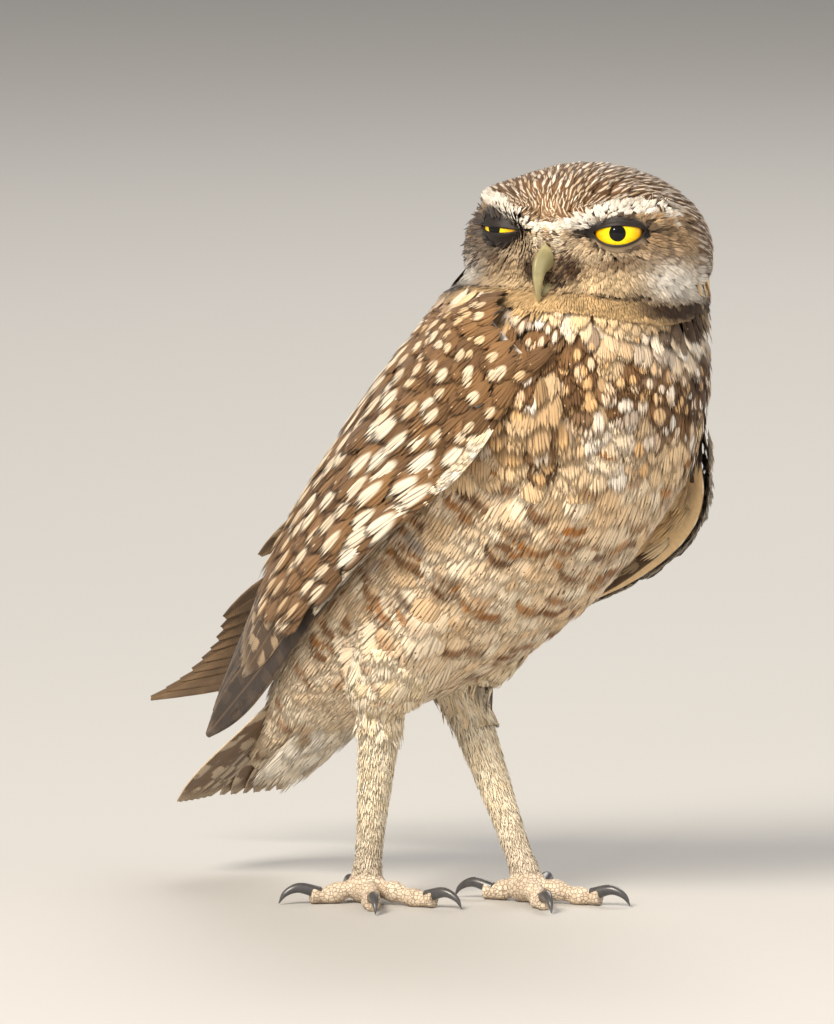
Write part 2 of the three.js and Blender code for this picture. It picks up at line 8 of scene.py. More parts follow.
import bpy
import numpy as np
from mathutils import Matrix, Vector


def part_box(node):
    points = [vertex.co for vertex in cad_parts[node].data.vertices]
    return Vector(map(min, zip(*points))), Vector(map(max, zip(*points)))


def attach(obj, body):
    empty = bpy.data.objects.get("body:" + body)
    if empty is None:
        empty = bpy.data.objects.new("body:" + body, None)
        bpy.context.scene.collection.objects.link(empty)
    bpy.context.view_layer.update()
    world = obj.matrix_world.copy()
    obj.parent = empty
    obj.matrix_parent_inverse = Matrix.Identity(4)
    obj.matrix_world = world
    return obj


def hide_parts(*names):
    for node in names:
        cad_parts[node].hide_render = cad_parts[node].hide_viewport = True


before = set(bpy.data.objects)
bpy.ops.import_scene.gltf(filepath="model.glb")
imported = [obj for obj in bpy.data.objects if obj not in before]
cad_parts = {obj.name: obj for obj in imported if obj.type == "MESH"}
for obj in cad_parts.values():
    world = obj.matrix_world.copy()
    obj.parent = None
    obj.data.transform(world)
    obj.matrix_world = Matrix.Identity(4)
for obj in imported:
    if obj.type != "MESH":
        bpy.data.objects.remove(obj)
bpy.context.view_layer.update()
HERE = bpy.context.scene.collection

# Skin: the owl's skin over its flesh, one closed surface for head, neck, body and thighs, under the coat.
# Ovals swept along the spine, a rounded head with sunken eyes, a filled-out neck and two thighs are merged by
# a fine voxel remesh, and coloured at each point by the rules of the feathers that are rooted there.
def unit(vectors):
    """The vectors over their lengths."""
    return vectors / np.maximum(np.linalg.norm(vectors, axis=-1, keepdims=True), 1e-9)


def ramp(x, low, high):
    """Smooth step from 0 at low to 1 at high."""
    share = np.clip((x - low) / (high - low), 0, 1)
    return share * share * (3 - 2 * share)


def bump(x, width):
    """Bell of height 1 at x = 0 that falls to 0.37 at the width."""
    return np.exp(-((x / width) ** 2))


def mixed(low, high, share):
    """Low where share is 0, high where it is 1, and a straight mix between."""
    share = np.asarray(share)[..., None]
    return np.asarray(low) * (1 - share) + np.asarray(high) * share


def spline(knots, share):
    """Centripetal Catmull-Rom curve through the knots, at shares of its knot count."""
    knots = np.asarray(knots, float)
    ends = np.vstack([2 * knots[0] - knots[1], knots, 2 * knots[-1] - knots[-2]])
    last = len(knots) - 1
    x = np.clip(share, 0, 1) * last
    i = np.minimum(x.astype(int), last - 1)
    f = (x - i)[..., None]
    p, q, r, s = (ends[i + k] for k in range(4))
    d0, d1, d2 = (
        np.sqrt(np.maximum(np.linalg.norm(b - a, axis=-1, keepdims=True), 1e-6))
        for a, b in ((p, q), (q, r), (r, s))
    )
    m1 = ((q - p) / d0 - (r - p) / (d0 + d1) + (r - q) / d1) * d1
    m2 = ((r - q) / d1 - (s - q) / (d1 + d2) + (s - r) / d2) * d1
    return q + m1 * f + (3 * (r - q) - 2 * m1 - m2) * f**2 + (2 * (q - r) + m1 + m2) * f**3


# Sizes in millimetres, as in the solids; BODY holds forward, up, half width, depth of back and of belly.
HEAD_CENTRE = np.array([0.0, -42.0, 175.0])
HEAD_TURN = math.radians(72)
AHEAD = np.array([-math.sin(HEAD_TURN), -math.cos(HEAD_TURN), 0.0])
ASIDE = np.array([-AHEAD[1], AHEAD[0], 0.0])
UP = np.array([0.0, 0.0, 1.0])
HALF_WIDTH, HALF_FRONT, HALF_BACK, HALF_TOP, HALF_BOTTOM = 32, 21, 30, 20, 23
EYE_AHEAD, EYE_ASIDE, EYE_ABOVE, EYE_RADIUS, EYE_SPLAY = 10.4, 15, 3.4, 8, math.radians(20)
EYE_LIFT = np.array([0, 0, 1.1])
BODY = np.array([
    [-78, 31, 4, 3, 3],
    [-63, 42, 12, 8, 9],
    [-46, 57, 22, 16, 16],
    [-27, 72, 30, 25, 24],
    [-7, 89, 35, 33, 31.5],
    [12, 108, 37, 36, 36.5],
    [28, 129, 37, 36, 40],
    [38, 147, 35, 33, 37],
    [41, 158, 29, 27, 30],
    [42, 167, 19, 18, 19],
    [42, 176, 10, 10, 10],
], float)


def head_point(ahead, aside, above):
    """Point given in the head's own directions."""
    ahead, aside, above = (np.asarray(x, float)[..., None] for x in (ahead, aside, above))
    return HEAD_CENTRE + ahead * AHEAD + aside * ASIDE + above * UP


def eye_axes(side):
    """An eye's centre, the way it looks, and the way to its outer corner."""
    turn = EYE_SPLAY * side
    looks = AHEAD * math.cos(turn) + ASIDE * math.sin(turn)
    outward = (ASIDE * math.cos(turn) - AHEAD * math.sin(turn)) * side
    return head_point(EYE_AHEAD, side * EYE_ASIDE, EYE_ABOVE), looks, outward


def shell_of_head(ways, grow=0.0, socket=0.0):
    """Head's surface along unit directions from its centre: a rounded box with the face pressed into it."""
    ahead, aside, above = ways @ AHEAD, ways @ ASIDE, ways[..., 2]
    front = np.where(ahead > 0, HALF_FRONT, HALF_BACK)
    height = np.where(above > 0, HALF_TOP, HALF_BOTTOM)
    power = 2.1
    reach = (
        np.abs(ahead / front) ** power
        + np.abs(aside / (HALF_WIDTH * (1 - 0.18 * above))) ** power
        + np.abs(above / height) ** power
    ) ** (-1 / power)
    p, q, h = ahead * reach, np.abs(aside) * reach, above * reach
    from_eye = np.hypot(q - 17, h - EYE_ABOVE)
    relief = (
        -2.6 * bump(from_eye, 8.5)
        - socket * bump(np.maximum(from_eye - 4, 0), 3)
        + 1.3 * bump(np.hypot((q - 12) / 1.25, h + 2) - 17, 3)
        + 3 * bump(h - (4.5 + 0.34 * q), 3.4) * ramp(q, 2, 7) * (1 - ramp(q, 22, 30))
        + 2.4 * bump(q, 6) * bump(h + 1, 9)
        + 1.6 * bump(h + 16, 4) * bump(q, 18)
    )
    reach = reach + relief * ramp(p, 0, 10) + grow
    return HEAD_CENTRE + ways * reach[..., None]


def body(share, turn, grow=0.0):
    """Body's surface: oval sections swept along the spine, turn 0.25 on the back and 0.75 on the belly."""
    turn = np.asarray(turn, float) * 2 * np.pi
    line = np.stack([np.zeros(len(BODY)), -BODY[:, 0], BODY[:, 1]], -1)
    centre = spline(line, share)
    girth = spline(BODY[:, 2:5], share) + np.asarray(grow, float)[..., None]
    along = unit(spline(line, share + 2e-3) - spline(line, share - 2e-3))
    over = np.cross(along, [1.0, 0, 0])
    depth = np.where(np.sin(turn) > 0, girth[..., 1], girth[..., 2])
    return (
        centre + np.cos(turn)[..., None] * girth[..., :1] * [1.0, 0, 0]
        + (np.sin(turn) * depth)[..., None] * over
    )


EYE_BOX = np.mean(np.array([list(corner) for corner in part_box("eye_left")]), axis=0)
SHIFT = EYE_BOX - eye_axes(1)[0] * 0.001


def piece(name, points, triangles, material, values=None, uv=None):
    """Object from points in the part's millimetres, rows of three indices, and values at each point."""
    mesh = bpy.data.meshes.new(name)
    triangles = np.asarray(triangles, np.int32)
    mesh.vertices.add(len(points))
    mesh.vertices.foreach_set("co", (np.asarray(points) * 0.001 + SHIFT).astype(np.float32).ravel())
    mesh.loops.add(triangles.size)
    mesh.loops.foreach_set("vertex_index", triangles.ravel())
    mesh.polygons.add(len(triangles))
    mesh.polygons.foreach_set("loop_start", np.arange(0, triangles.size, 3, dtype=np.int32))
    mesh.polygons.foreach_set("use_smooth", np.full(len(triangles), True))
    for key, value in (values or {}).items():
        kind = {1: "FLOAT", 3: "FLOAT_VECTOR"}[value.shape[-1] if value.ndim > 1 else 1]
        layer = mesh.attributes.new(key, kind, "POINT")
        layer.data.foreach_set("value" if kind == "FLOAT" else "vector", value.astype(np.float32).ravel())
    if uv is not None:
        layer = mesh.uv_layers.new(name="OFBake")
        layer.data.foreach_set("uv", uv[triangles.ravel()].astype(np.float32).ravel())
    mesh.update(calc_edges=True)
    mesh.materials.append(material)
    made = bpy.data.objects.new(name, mesh)
    HERE.objects.link(made)
    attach(made, "root")
    return made


def grid_faces(rows, columns, wrap):
    """Triangles of a grid of points in rows, joined round from the last column to the first when wrap is set.
    """
    r, c = np.meshgrid(np.arange(rows - 1), np.arange(columns if wrap else columns - 1), indexing="ij")
    a, b = (r * columns + c).ravel(), (r * columns + (c + 1) % columns).ravel()
    return np.concatenate([np.stack([a, b, b + columns], 1), np.stack([a, b + columns, a + columns], 1)])


def closed_tube(points):
    """Points and triangles of rings of points, rows first, with a fan over each end ring."""
    rows, columns = points.shape[:2]
    faces = grid_faces(rows, columns, True)
    i = np.arange(columns)
    first, last = rows * columns, rows * columns + 1
    start = np.stack([(i + 1) % columns, i, np.full(columns, first)], 1)
    end = np.stack([i, (i + 1) % columns, np.full(columns, last)], 1) + [[(rows - 1) * columns] * 2 + [0]]
    middle = np.stack([points[0].mean(0), points[-1].mean(0)])
    return np.vstack([points.reshape(-1, 3), middle]), np.vstack([faces, start, end])


def outward(points, triangles):
    """The same triangles, wound so that the closed mesh has a positive volume."""
    a, b, c = (points[triangles[:, k]] for k in range(3))
    return triangles if np.einsum("nk,nk->", a, np.cross(b, c)) > 0 else triangles[:, ::-1]


def joined(parts):
    """One mesh from several lists of points and triangles."""
    points, triangles, count = [], [], 0
    for p, t in parts:
        points.append(p)
        triangles.append(t + count)
        count += len(p)
    return np.vstack(points), np.vstack(triangles)


def rough_radius(points, turns, levels):
    """Greatest distance from the neck's upright axis at each turn and height, among a cloud of points."""
    offset = points - HEAD_CENTRE * [1, 1, 0]
    turn = np.arctan2(offset[:, 1], offset[:, 0]) / (2 * np.pi) % 1
    column = (turn * turns).astype(int) % turns
    row = np.round((offset[:, 2] - levels[0]) / (levels[1] - levels[0])).astype(int)
    inside = (row >= 0) & (row < len(levels))
    radius = np.zeros((len(levels), turns))
    np.maximum.at(radius, (row[inside], column[inside]), np.hypot(offset[inside, 0], offset[inside, 1]))
    return radius


def round_the_neck(radius):
    """Fills hollows of the outline at each turn to 0.85 of its hull, then averages it round and along."""
    levels = np.arange(len(radius))
    hull = radius.copy()
    for low in levels[:-2]:
        for high in levels[low + 2:]:
            f = ((levels[low:high + 1] - low) / (high - low))[:, None]
            hull[low:high + 1] = np.maximum(hull[low:high + 1], radius[low] * (1 - f) + radius[high] * f)
    radius = radius + 0.85 * (hull - radius)
    for _ in range(4):
        radius = (np.roll(radius, 1, 1) + 2 * radius + np.roll(radius, -1, 1)) / 4
        radius[1:-1] = (radius[:-2] + 2 * radius[1:-1] + radius[2:]) / 4
    return radius


def spread_ways(number):
    """Unit directions spread evenly over a sphere, on a spiral."""
    i = np.arange(number) + 0.5
    z = 1 - 2 * i / number
    turn = np.pi * (1 + 5**0.5) * i
    side = np.sqrt(1 - z * z)
    return np.stack([side * np.cos(turn), side * np.sin(turn), z], -1)


# Hip and heel of each leg
THIGHS = {"right": ((-20, -2, 84), (-17.5, 15, 52)), "left": ((20, 4, 84), (13, 17, 54))}

# Neck: its feathers fill the hollow between head and shoulders, so they lie on a hull of the two
COLLAR_LOW, COLLAR_HIGH, COLLAR_TURNS = 110.0, 178.0, 72
COLLAR_LEVELS = np.linspace(COLLAR_LOW, COLLAR_HIGH, 46)
COLLAR_RADIUS = rough_radius(np.vstack([
    shell_of_head(spread_ways(60000)),
    body(*np.meshgrid(np.linspace(0.3, 1, 500), np.linspace(0, 1, 500), indexing="ij")).reshape(-1, 3),
]), COLLAR_TURNS, COLLAR_LEVELS)
COLLAR_RADIUS = round_the_neck(COLLAR_RADIUS)


def collar(down, turn, grow=0.0):
    """Collar's surface: down runs 0 to 1 from the head's widest height to the breast, turn goes round."""
    row = (1 - np.clip(down, 0, 1)) * (len(COLLAR_LEVELS) - 1)
    column = (turn % 1) * COLLAR_TURNS - 0.5
    i, j = np.minimum(row.astype(int), len(COLLAR_LEVELS) - 2), np.floor(column).astype(int)
    f, g = row - i, column - j
    j, k = j % COLLAR_TURNS, (j + 1) % COLLAR_TURNS
    upper = COLLAR_RADIUS[i, j] * (1 - g) + COLLAR_RADIUS[i, k] * g
    lower = COLLAR_RADIUS[i + 1, j] * (1 - g) + COLLAR_RADIUS[i + 1, k] * g
    radius = upper * (1 - f) + lower * f + grow
    angle = np.asarray(turn) * 2 * np.pi
    height = COLLAR_HIGH + (COLLAR_LOW - COLLAR_HIGH) * np.clip(down, 0, 1)
    return HEAD_CENTRE * [1, 1, 0] + np.stack(
        [radius * np.cos(angle), radius * np.sin(angle), height + 0 * angle], -1,
    )


def limb(path, radius, steps, sides, floor=None, flat=1.0):
    """Rings of a round tube along a curve, its radius a function of the share of its length."""
    share = np.linspace(0, 1, steps)
    centre = spline(path, share)
    along = unit(spline(path, share + 5e-3) - spline(path, share - 5e-3))
    across = np.cross(along, UP)
    across[np.linalg.norm(across, axis=1) < 0.05] = [1.0, 0, 0]
    across = unit(across)
    over = np.cross(along, across)
    turn = np.linspace(0, 2 * np.pi, sides, endpoint=False)[:, None]
    rings = (
        centre[:, None]
        + (
            np.cos(turn) * across[:, None] + flat * np.sin(turn) * over[:, None]
        ) * radius(share)[:, None, None]
    )
    if floor is not None:
        rings[..., 2] = np.maximum(rings[..., 2], floor)
    return rings


def bare_thigh(t):
    """Radius of a thigh's flesh at a share of its length from the hip."""
    return 5.5 + 5.6 * ramp(t, 0, 0.4) - 3.2 * ramp(t, 0.4, 0.8) - 3.2 * ramp(t, 0.77, 1)


def skin_mesh():
    """Body, head and thigh surfaces joined, to be merged by a voxel remesh."""
    share, turn = np.meshgrid(
        np.linspace(0.01, 0.99, 70), np.linspace(0, 1, 64, endpoint=False), indexing="ij",
    )
    rings = [body(share, turn, np.full(share.shape, -2.0))]
    turn, tilt = np.meshgrid(
        np.linspace(0, 2 * np.pi, 90, endpoint=False), np.linspace(-1.5, 1.5, 60), indexing="ij",
    )
    turn, tilt = turn.T, tilt.T
    ways = np.stack([np.cos(tilt) * np.cos(turn), np.cos(tilt) * np.sin(turn), np.sin(tilt)], -1)
    rings.append(shell_of_head(ways, -1.6, 6.0))
    turn, down = np.meshgrid(np.linspace(0, 1, 96, endpoint=False), np.linspace(0.3, 1, 50), indexing="ij")
    rings.append(collar(down.T, turn.T, -2.2 - 6 * (1 - ramp(down.T, 0.3, 0.42))))
    for hip, heel in THIGHS.values():
        rings.append(limb([hip, mixed(hip, heel, 0.5), np.add(heel, [0, 0, 2])], bare_thigh, 24, 32))
    return joined([(p, outward(p, t)) for p, t in map(closed_tube, rings)])


def srgb(red, green, blue):
    """Linear colour of an 8-bit sRGB one."""
    share = np.array([red, green, blue]) / 255
    return np.where(share <= 0.04045, share / 12.92, ((share + 0.055) / 1.055) ** 2.4)


# Colours, as they are in the photograph's light
BROWN = srgb(112, 81, 50)
DARK = srgb(62, 43, 28)
BUFF = srgb(222, 182, 132)
CREAM = srgb(236, 207, 166)
WHITE = srgb(240, 232, 220)
BAR = srgb(160, 110, 54)


def looks(count, **given):
    """Arrays of kind, form, ground and mark, from numbers or arrays for each feather."""
    spot, bar, streak, pair, edge, seed = (
        np.broadcast_to(given.get(k, 0.0), (count,))
        for k in ("spot", "bar", "streak", "pair", "edge", "seed")
    )
    ground, mark = (np.broadcast_to(given[k], (count, 3)) for k in ("ground", "mark"))
    return np.stack([spot, bar, streak], -1), np.stack([pair, edge, seed], -1), ground, mark


def patchy(points, seed, size):
    """Soft irregular patches from -1 to 1: a sum of waves that run in random directions."""
    rng = np.random.default_rng(seed)
    ways = unit(rng.normal(0, 1, (14, 3))) * rng.uniform(0.6, 1.5, (14, 1)) * 2 * np.pi / (2 * size)
    return np.cos(points @ ways.T + rng.uniform(0, 6.3, 14)).sum(1) / 3.2


def body_colours(points, share, turn, rng):
    """Ground, mark and markings of the body's feathers by their place, softly broken up at the borders."""
    n = len(share)
    z = points[:, 2] + rng.normal(0, 2.5, n)
    over = np.sin(2 * np.pi * turn) + rng.normal(0, 0.08, n)
    rear = 1 - ramp(share, 0.25, 0.45)
    back = ramp(over - 0.75 * rear, -0.2, 0.15)
    low = 1 - ramp(z, 56, 84)
    ground = mixed(
        mixed(srgb(246, 228, 200), BUFF, rng.uniform(0, 0.8, n) * (1 - 0.4 * low)), BROWN * 1.1, back,
    )
    bars = mixed(srgb(172, 112, 50), srgb(92, 60, 32), rng.uniform(0, 1, n))
    mark = mixed(bars, mixed(BUFF, WHITE, rng.uniform(0.4, 1, n)), back)
    pale = back < 0.5
    spot = np.where(pale, 0, rng.uniform(0.5, 1.1, n))
    blotch = patchy(points, 11, 6.0) + rng.uniform(-0.2, 0.2, n)
    bar = np.where(pale, ramp(blotch, 0.7 * low, 0.5 + 0.7 * low) * rng.uniform(0.75, 1, n), 0)
    return looks(
        n, spot=spot, bar=bar, edge=0.3 * ~pale, seed=rng.uniform(0, 1, n), ground=ground, mark=mark,
    )


def throat_colours(z, degrees, root, rng):
    """Neck and breast by height and turn: buff chin, white crescent, dark sides, brown and spotted breast."""
    n = len(z)
    z = z + rng.normal(0, 0.8, n)
    degrees = degrees + rng.normal(0, 4, n)
    front = ramp(degrees, 120, 160) * (1 - ramp(degrees, 300, 335))
    crescent = np.interp(
        degrees, [100, 180, 205, 230, 255, 270, 290, 320], [157, 157, 155.5, 152.8, 149.8, 147, 147.5, 152],
    )
    soft = rng.uniform(0, 1, n)
    ground = mixed(BROWN * 0.8, srgb(134, 96, 58), soft)
    ground = mixed(
        ground, mixed(BROWN, DARK, 0.6), ramp(degrees, 255, 285) * ramp(z, 126, 134) * (soft > 0.4),
    )
    blotch = patchy(root, 5, 11.0) + rng.uniform(-0.2, 0.2, n)
    ground = mixed(
        ground, mixed(BUFF, CREAM, soft) * 0.92, ramp(blotch, 0.7, 1.1) * ramp(155 - z, 0, 4) * front * 0.7,
    )
    ground = mixed(
        ground, mixed(mixed(CREAM, BUFF, 0.6), CREAM, soft),
        front * (1 - ramp(z + 5 * patchy(root, 8, 7.0), 116, 124)),
    )
    ground = mixed(
        ground, mixed(CREAM, WHITE, soft), bump((degrees - 236) / 15, 1.0) * (1 - ramp(z, 129, 134)),
    )
    ground = mixed(ground, srgb(228, 196, 150), front * (z > crescent) * ramp(z, 151, 154))
    half = np.interp(degrees, [180, 230, 255, 275, 320], [1.9, 1.9, 3.0, 4.0, 3.5])
    ground = mixed(
        ground, mixed(CREAM, WHITE, soft), bump((z - crescent) / half, 1) * np.maximum(front, 0.35),
    )
    ground = mixed(
        ground, DARK * 1.25,
        bump((degrees - 286) / 32, 1.0) * ramp(z, crescent + 1.5, crescent + 3) * (1 - ramp(z, 160, 163)),
    )
    pale = ground.mean(1) > 0.35
    dark_side = bump((degrees - 286) / 32, 1.0)
    spot = rng.uniform(0.75, 1.25, n) * (1 - 0.3 * dark_side) * (rng.uniform(0, 1, n) > 0.15)
    spot = np.where(pale | (z > 158) | (dark_side * ramp(z, crescent + 2, crescent + 3) > 0.4), 0, spot)
    mark = mixed(
        srgb(218, 176, 124), WHITE,
        np.clip(rng.uniform(-0.6, 0.8, n) + ramp(degrees, 255, 285) * 0.5, 0, 1),
    )
    return looks(
        n, spot=spot, pair=rng.uniform(-0.3, 0.6, n), edge=0.35 * (soft > 0.5) * pale, seed=soft,
        ground=ground, mark=mark,
    )


def face_colours(p, q, h, rng):
    """Ground, mark and streak of the head's feathers, by distance ahead, aside and above its centre."""
    n = len(p)
    q = q + rng.normal(0, 0.35, n)
    h = h + rng.normal(0, 0.3, n)
    a, soft = np.abs(q), rng.uniform(0, 1, n)
    front = ramp(p, -4, 4)
    ground = mixed(srgb(80, 56, 34), srgb(118, 84, 52), soft)
    mark = mixed(srgb(212, 184, 146), WHITE, soft)
    streak = np.full(n, 1.0)

    mottle = patchy(np.stack([p, q, h], -1), 17, 2.6)[:, None] * (0.16 + 0.06 * ramp(a, 20, 26)[:, None])

    def lay(colour, mask, line=None, inner=None):
        nonlocal ground, mark, streak
        ground = mixed(ground, colour, np.clip(mask, 0, 1))
        mark = mixed(mark, colour * 0.5 if inner is None else inner, np.clip(mask, 0, 1))
        if line is not None:
            streak = streak + (line - streak) * np.clip(mask, 0, 1)

    cheek = mixed(srgb(158, 128, 94), srgb(194, 164, 126), soft)
    lay(cheek, ramp(9 - h + 0.1 * a, 0, 3) * front, 0.75, cheek * 0.36)
    fan = bump(np.hypot(q + 1, (h - 6) * 0.9), 7.5) * front
    lay(srgb(138, 104, 70), fan * ramp(h, 4, 6), 0.9, srgb(238, 220, 192))
    centre = np.interp(
        q, [-26, -20, -15, -10, -5, 0, 5, 10, 15, 20, 25, 30],
        [12.5, 11.5, 9.8, 8, 6.4, 5.6, 6.6, 8.6, 10.4, 11.2, 10.8, 9],
    )
    half = np.interp(a, [0, 5, 12, 20, 25, 29], [1.2, 1.5, 2.5, 2.5, 1.9, 0.6])
    lay(
        mixed(WHITE, srgb(235, 220, 198), 0.5 * soft),
        front * (1 - ramp(np.abs(h - centre) / half, 0.75, 1.15)) * (a < 29), 0.12, srgb(190, 170, 145),
    )
    lay(srgb(184, 164, 136), bump(a - 6, 3.8) * bump(h - 1, 4) * front, 0.6, srgb(104, 82, 60))
    lay(srgb(236, 222, 198), bump(a - 2.6, 1.6) * bump(h - 2.5, 2.5) * front, 0.3, srgb(150, 126, 98))
    lay(srgb(222, 200, 168), bump(a - 15, 9) * bump(h + 3.0, 2.8) * front, 0.6, srgb(120, 95, 70))
    lay(srgb(238, 208, 164), bump(a - 13, 10) * bump(h + 8.6, 4.2) * front, 0.15)
    lay(srgb(70, 50, 34), bump((a - 6.0) / 3.4, 1) * bump((h + 5.0) / 3.4, 1) * front * 1.2, 0.2)
    lay(srgb(112, 82, 54), bump((a - 18) / 8, 1) * bump((h + 5.4 - 0.1 * a) / 1.5, 1) * front * 0.9, 0.4)
    lay(srgb(132, 100, 68), bump((a - 27) / 3.5, 1) * bump((h - 1) / 6, 1) * front * 0.5, 0.8)
    lay(srgb(112, 84, 58), bump((q + 21) / 6, 1) * bump((h + 6) / 5, 1) * front * 0.6, 0.8)
    lay(WHITE, bump((a - 28.5) / 5.5, 1) * bump((h + 9) / 5.0, 1) * ramp(p, -10, -5) * 1.2, 0.1)
    lay(srgb(214, 178, 128), (1 - ramp(q, 16, 21)) * front * (1 - ramp(h, -15.4, -14.6)), 0.1)
    lay(DARK * 0.6, front * (a < 22) * bump(h + 15.0 - 0.0045 * a * a, 1.0) * 1.2, 0.0)
    lay(DARK * 0.5, bump(a - 20.5, 2.0) * bump(h + 12.9, 0.8) * front * 1.3, 0.0)
    lay(DARK * 1.1, bump((q - 27) / 8, 1) * bump((h + 19) / 3.8, 1) * 1.7, 0.1)
    lay(srgb(66, 48, 34), bump((q + 27) / 5, 1) * bump((h + 17) / 5, 1) * 1.2, 0.1)
    lid = np.hypot((a - 17.2) / 8.4, (h - 4) / 4.6)
    lay(srgb(84, 68, 54), front * (1 - ramp(lid, 0.86, 1.06)), 0.2)
    lay(srgb(40, 32, 28), front * bump((a - 8.6) / 2.6, 1) * bump(h - 5.0, 1.3) * 1.1, 0.1)
    lay(srgb(52, 42, 35), front * bump((a - 26) / 2.2, 1) * bump(h - 5.4, 1.2), 0.1)
    # Painted shade: a near-black patch round the far eye's socket, which lies in shadow
    lay(srgb(40, 33, 29), front * bump(q + 20.0, 5.5) * bump(h - 3.5, 5.5) * 1.3, 0.1)
    return ground * (1 + mottle), mark, streak


def shown_colour(look):
    """Mean colour of feathers: their ground with its share of spots, bars and streaks."""
    kind, _, ground, mark = look
    cover = 0.45 * np.minimum(kind[:, 0], 1) + 0.3 * kind[:, 1] + 0.3 * kind[:, 2]
    return mixed(ground, mark, np.clip(cover, 0, 1))


def skin_colours(points):
    """Colour of the skin at each point, by the same rules as the feathers that are rooted there."""
    rng = np.random.default_rng(3)
    share, turn = np.meshgrid(
        np.linspace(0.02, 0.98, 60), np.linspace(0, 1, 48, endpoint=False), indexing="ij",
    )
    grid = body(share, turn).reshape(-1, 3)
    near = np.concatenate(
        [((some[:, None] - grid) ** 2).sum(-1).argmin(1) for some in np.array_split(points, 40)]
    )
    trunk = shown_colour(body_colours(points, share.ravel()[near], turn.ravel()[near], rng))
    offset = points - HEAD_CENTRE
    degrees = np.degrees(np.arctan2(offset[:, 1], offset[:, 0])) % 360
    neck = shown_colour(throat_colours(points[:, 2], degrees, points, rng))
    ground, mark, streak = face_colours(offset @ AHEAD, offset @ ASIDE, offset[:, 2], rng)
    face = mixed(ground, mark, 0.3 * streak)
    tone = mixed(trunk, neck, ramp(points[:, 2], 116, 126))
    return mixed(tone, face, ramp(points[:, 2], 156, 160)) * 0.8


def add(tree, kind, links=None, **settings):
    """Shader node with its settings; links gives each socket a link or a plain value."""
    made = tree.nodes.new(kind)
    for key, value in settings.items():
        setattr(made, key, value)
    for key, value in (links or {}).items():
        if isinstance(value, bpy.types.NodeSocket):
            tree.links.new(value, made.inputs[key])
        else:
            made.inputs[key].default_value = value
    return made


def maths(tree, operation, *values):
    return add(tree, "ShaderNodeMath", dict(enumerate(values)), operation=operation).outputs[0]


def tint(tree, kind, share, low, high):
    """Colour mix; its sockets 0, 6 and 7 are the share and the two colours."""
    made = add(tree, "ShaderNodeMix", {0: share, 6: low, 7: high}, data_type="RGBA", blend_type=kind)
    return made.outputs[2]


def value_at(tree, name, output="Fac"):
    """Value kept at the mesh's points under a name."""
    return add(tree, "ShaderNodeAttribute", attribute_name=name).outputs[output]


def noise(tree, where, scale, detail):
    """Soft noise from 0 to 1, about a half, at the vector where."""
    links = {"Scale": scale, "Detail": detail}
    if where is not None:
        links["Vector"] = where
    return add(tree, "ShaderNodeTexNoise", links).outputs[0]


def scaled(tree, value, gain, base):
    """The value times gain, plus base."""
    return maths(tree, "ADD", maths(tree, "MULTIPLY", value, gain), base)


def grey(tree, level):
    """Colour of one level in all three channels."""
    return add(tree, "ShaderNodeCombineColor", {0: level, 1: level, 2: level}).outputs[0]


def shader(name, rough, **constants):
    """Material with a Principled shader; constants go on the shader's own sockets."""
    material = bpy.data.materials.new(name)
    material.use_nodes = True
    tree = material.node_tree
    bsdf = tree.nodes["Principled BSDF"]
    bsdf.inputs["Roughness"].default_value = rough
    for key, value in constants.items():
        bsdf.inputs[key.replace("_", " ")].default_value = value
    return material, tree, bsdf


SKIN_VOXEL = 0.0013
skin_points, skin_triangles = skin_mesh()
SKIN, tree, bsdf = shader("skin", 0.85)
place_of = add(tree, "ShaderNodeTexCoord").outputs["Object"]
patches = noise(tree, place_of, 900.0, 2.0)
tone = grey(tree, scaled(tree, patches, 0.4, 0.8))
tree.links.new(
    tint(tree, "MULTIPLY", 1.0, value_at(tree, "ground", "Vector"), tone), bsdf.inputs["Base Color"],
)
skin = piece("skin", skin_points, skin_triangles, SKIN)
remesh = skin.modifiers.new("merge", "REMESH")
remesh.mode, remesh.voxel_size, remesh.use_smooth_shade = "VOXEL", SKIN_VOXEL, True
bpy.context.view_layer.objects.active = skin
with bpy.context.temp_override(object=skin, active_object=skin, selected_objects=[skin]):
    bpy.ops.object.modifier_apply(modifier="merge")
points = np.empty(len(skin.data.vertices) * 3, np.float32)
skin.data.vertices.foreach_get("co", points)
points = (points.reshape(-1, 3).astype(float) - SHIFT) * 1000
layer = skin.data.attributes.new("ground", "FLOAT_VECTOR", "POINT")
layer.data.foreach_set("vector", skin_colours(points).astype(np.float32).ravel())
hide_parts("torso", "neck", "head", "thigh_right", "thigh_left")

# Body coat: soft feathers of belly and back, in rows from the undertail to the shoulders, each over the next
# one back. Each is a fan of thin closed locks along the lie, rooted in the skin, brown with pale spots above
# and cream with brown bars below.
def soft_step(tree, value, low, high):
    """Smooth step of the value from 0 at low to 1 at high."""
    made = add(tree, "ShaderNodeMapRange", {0: value, 1: low, 2: high}, interpolation_type="SMOOTHSTEP")
    return made.outputs[0]


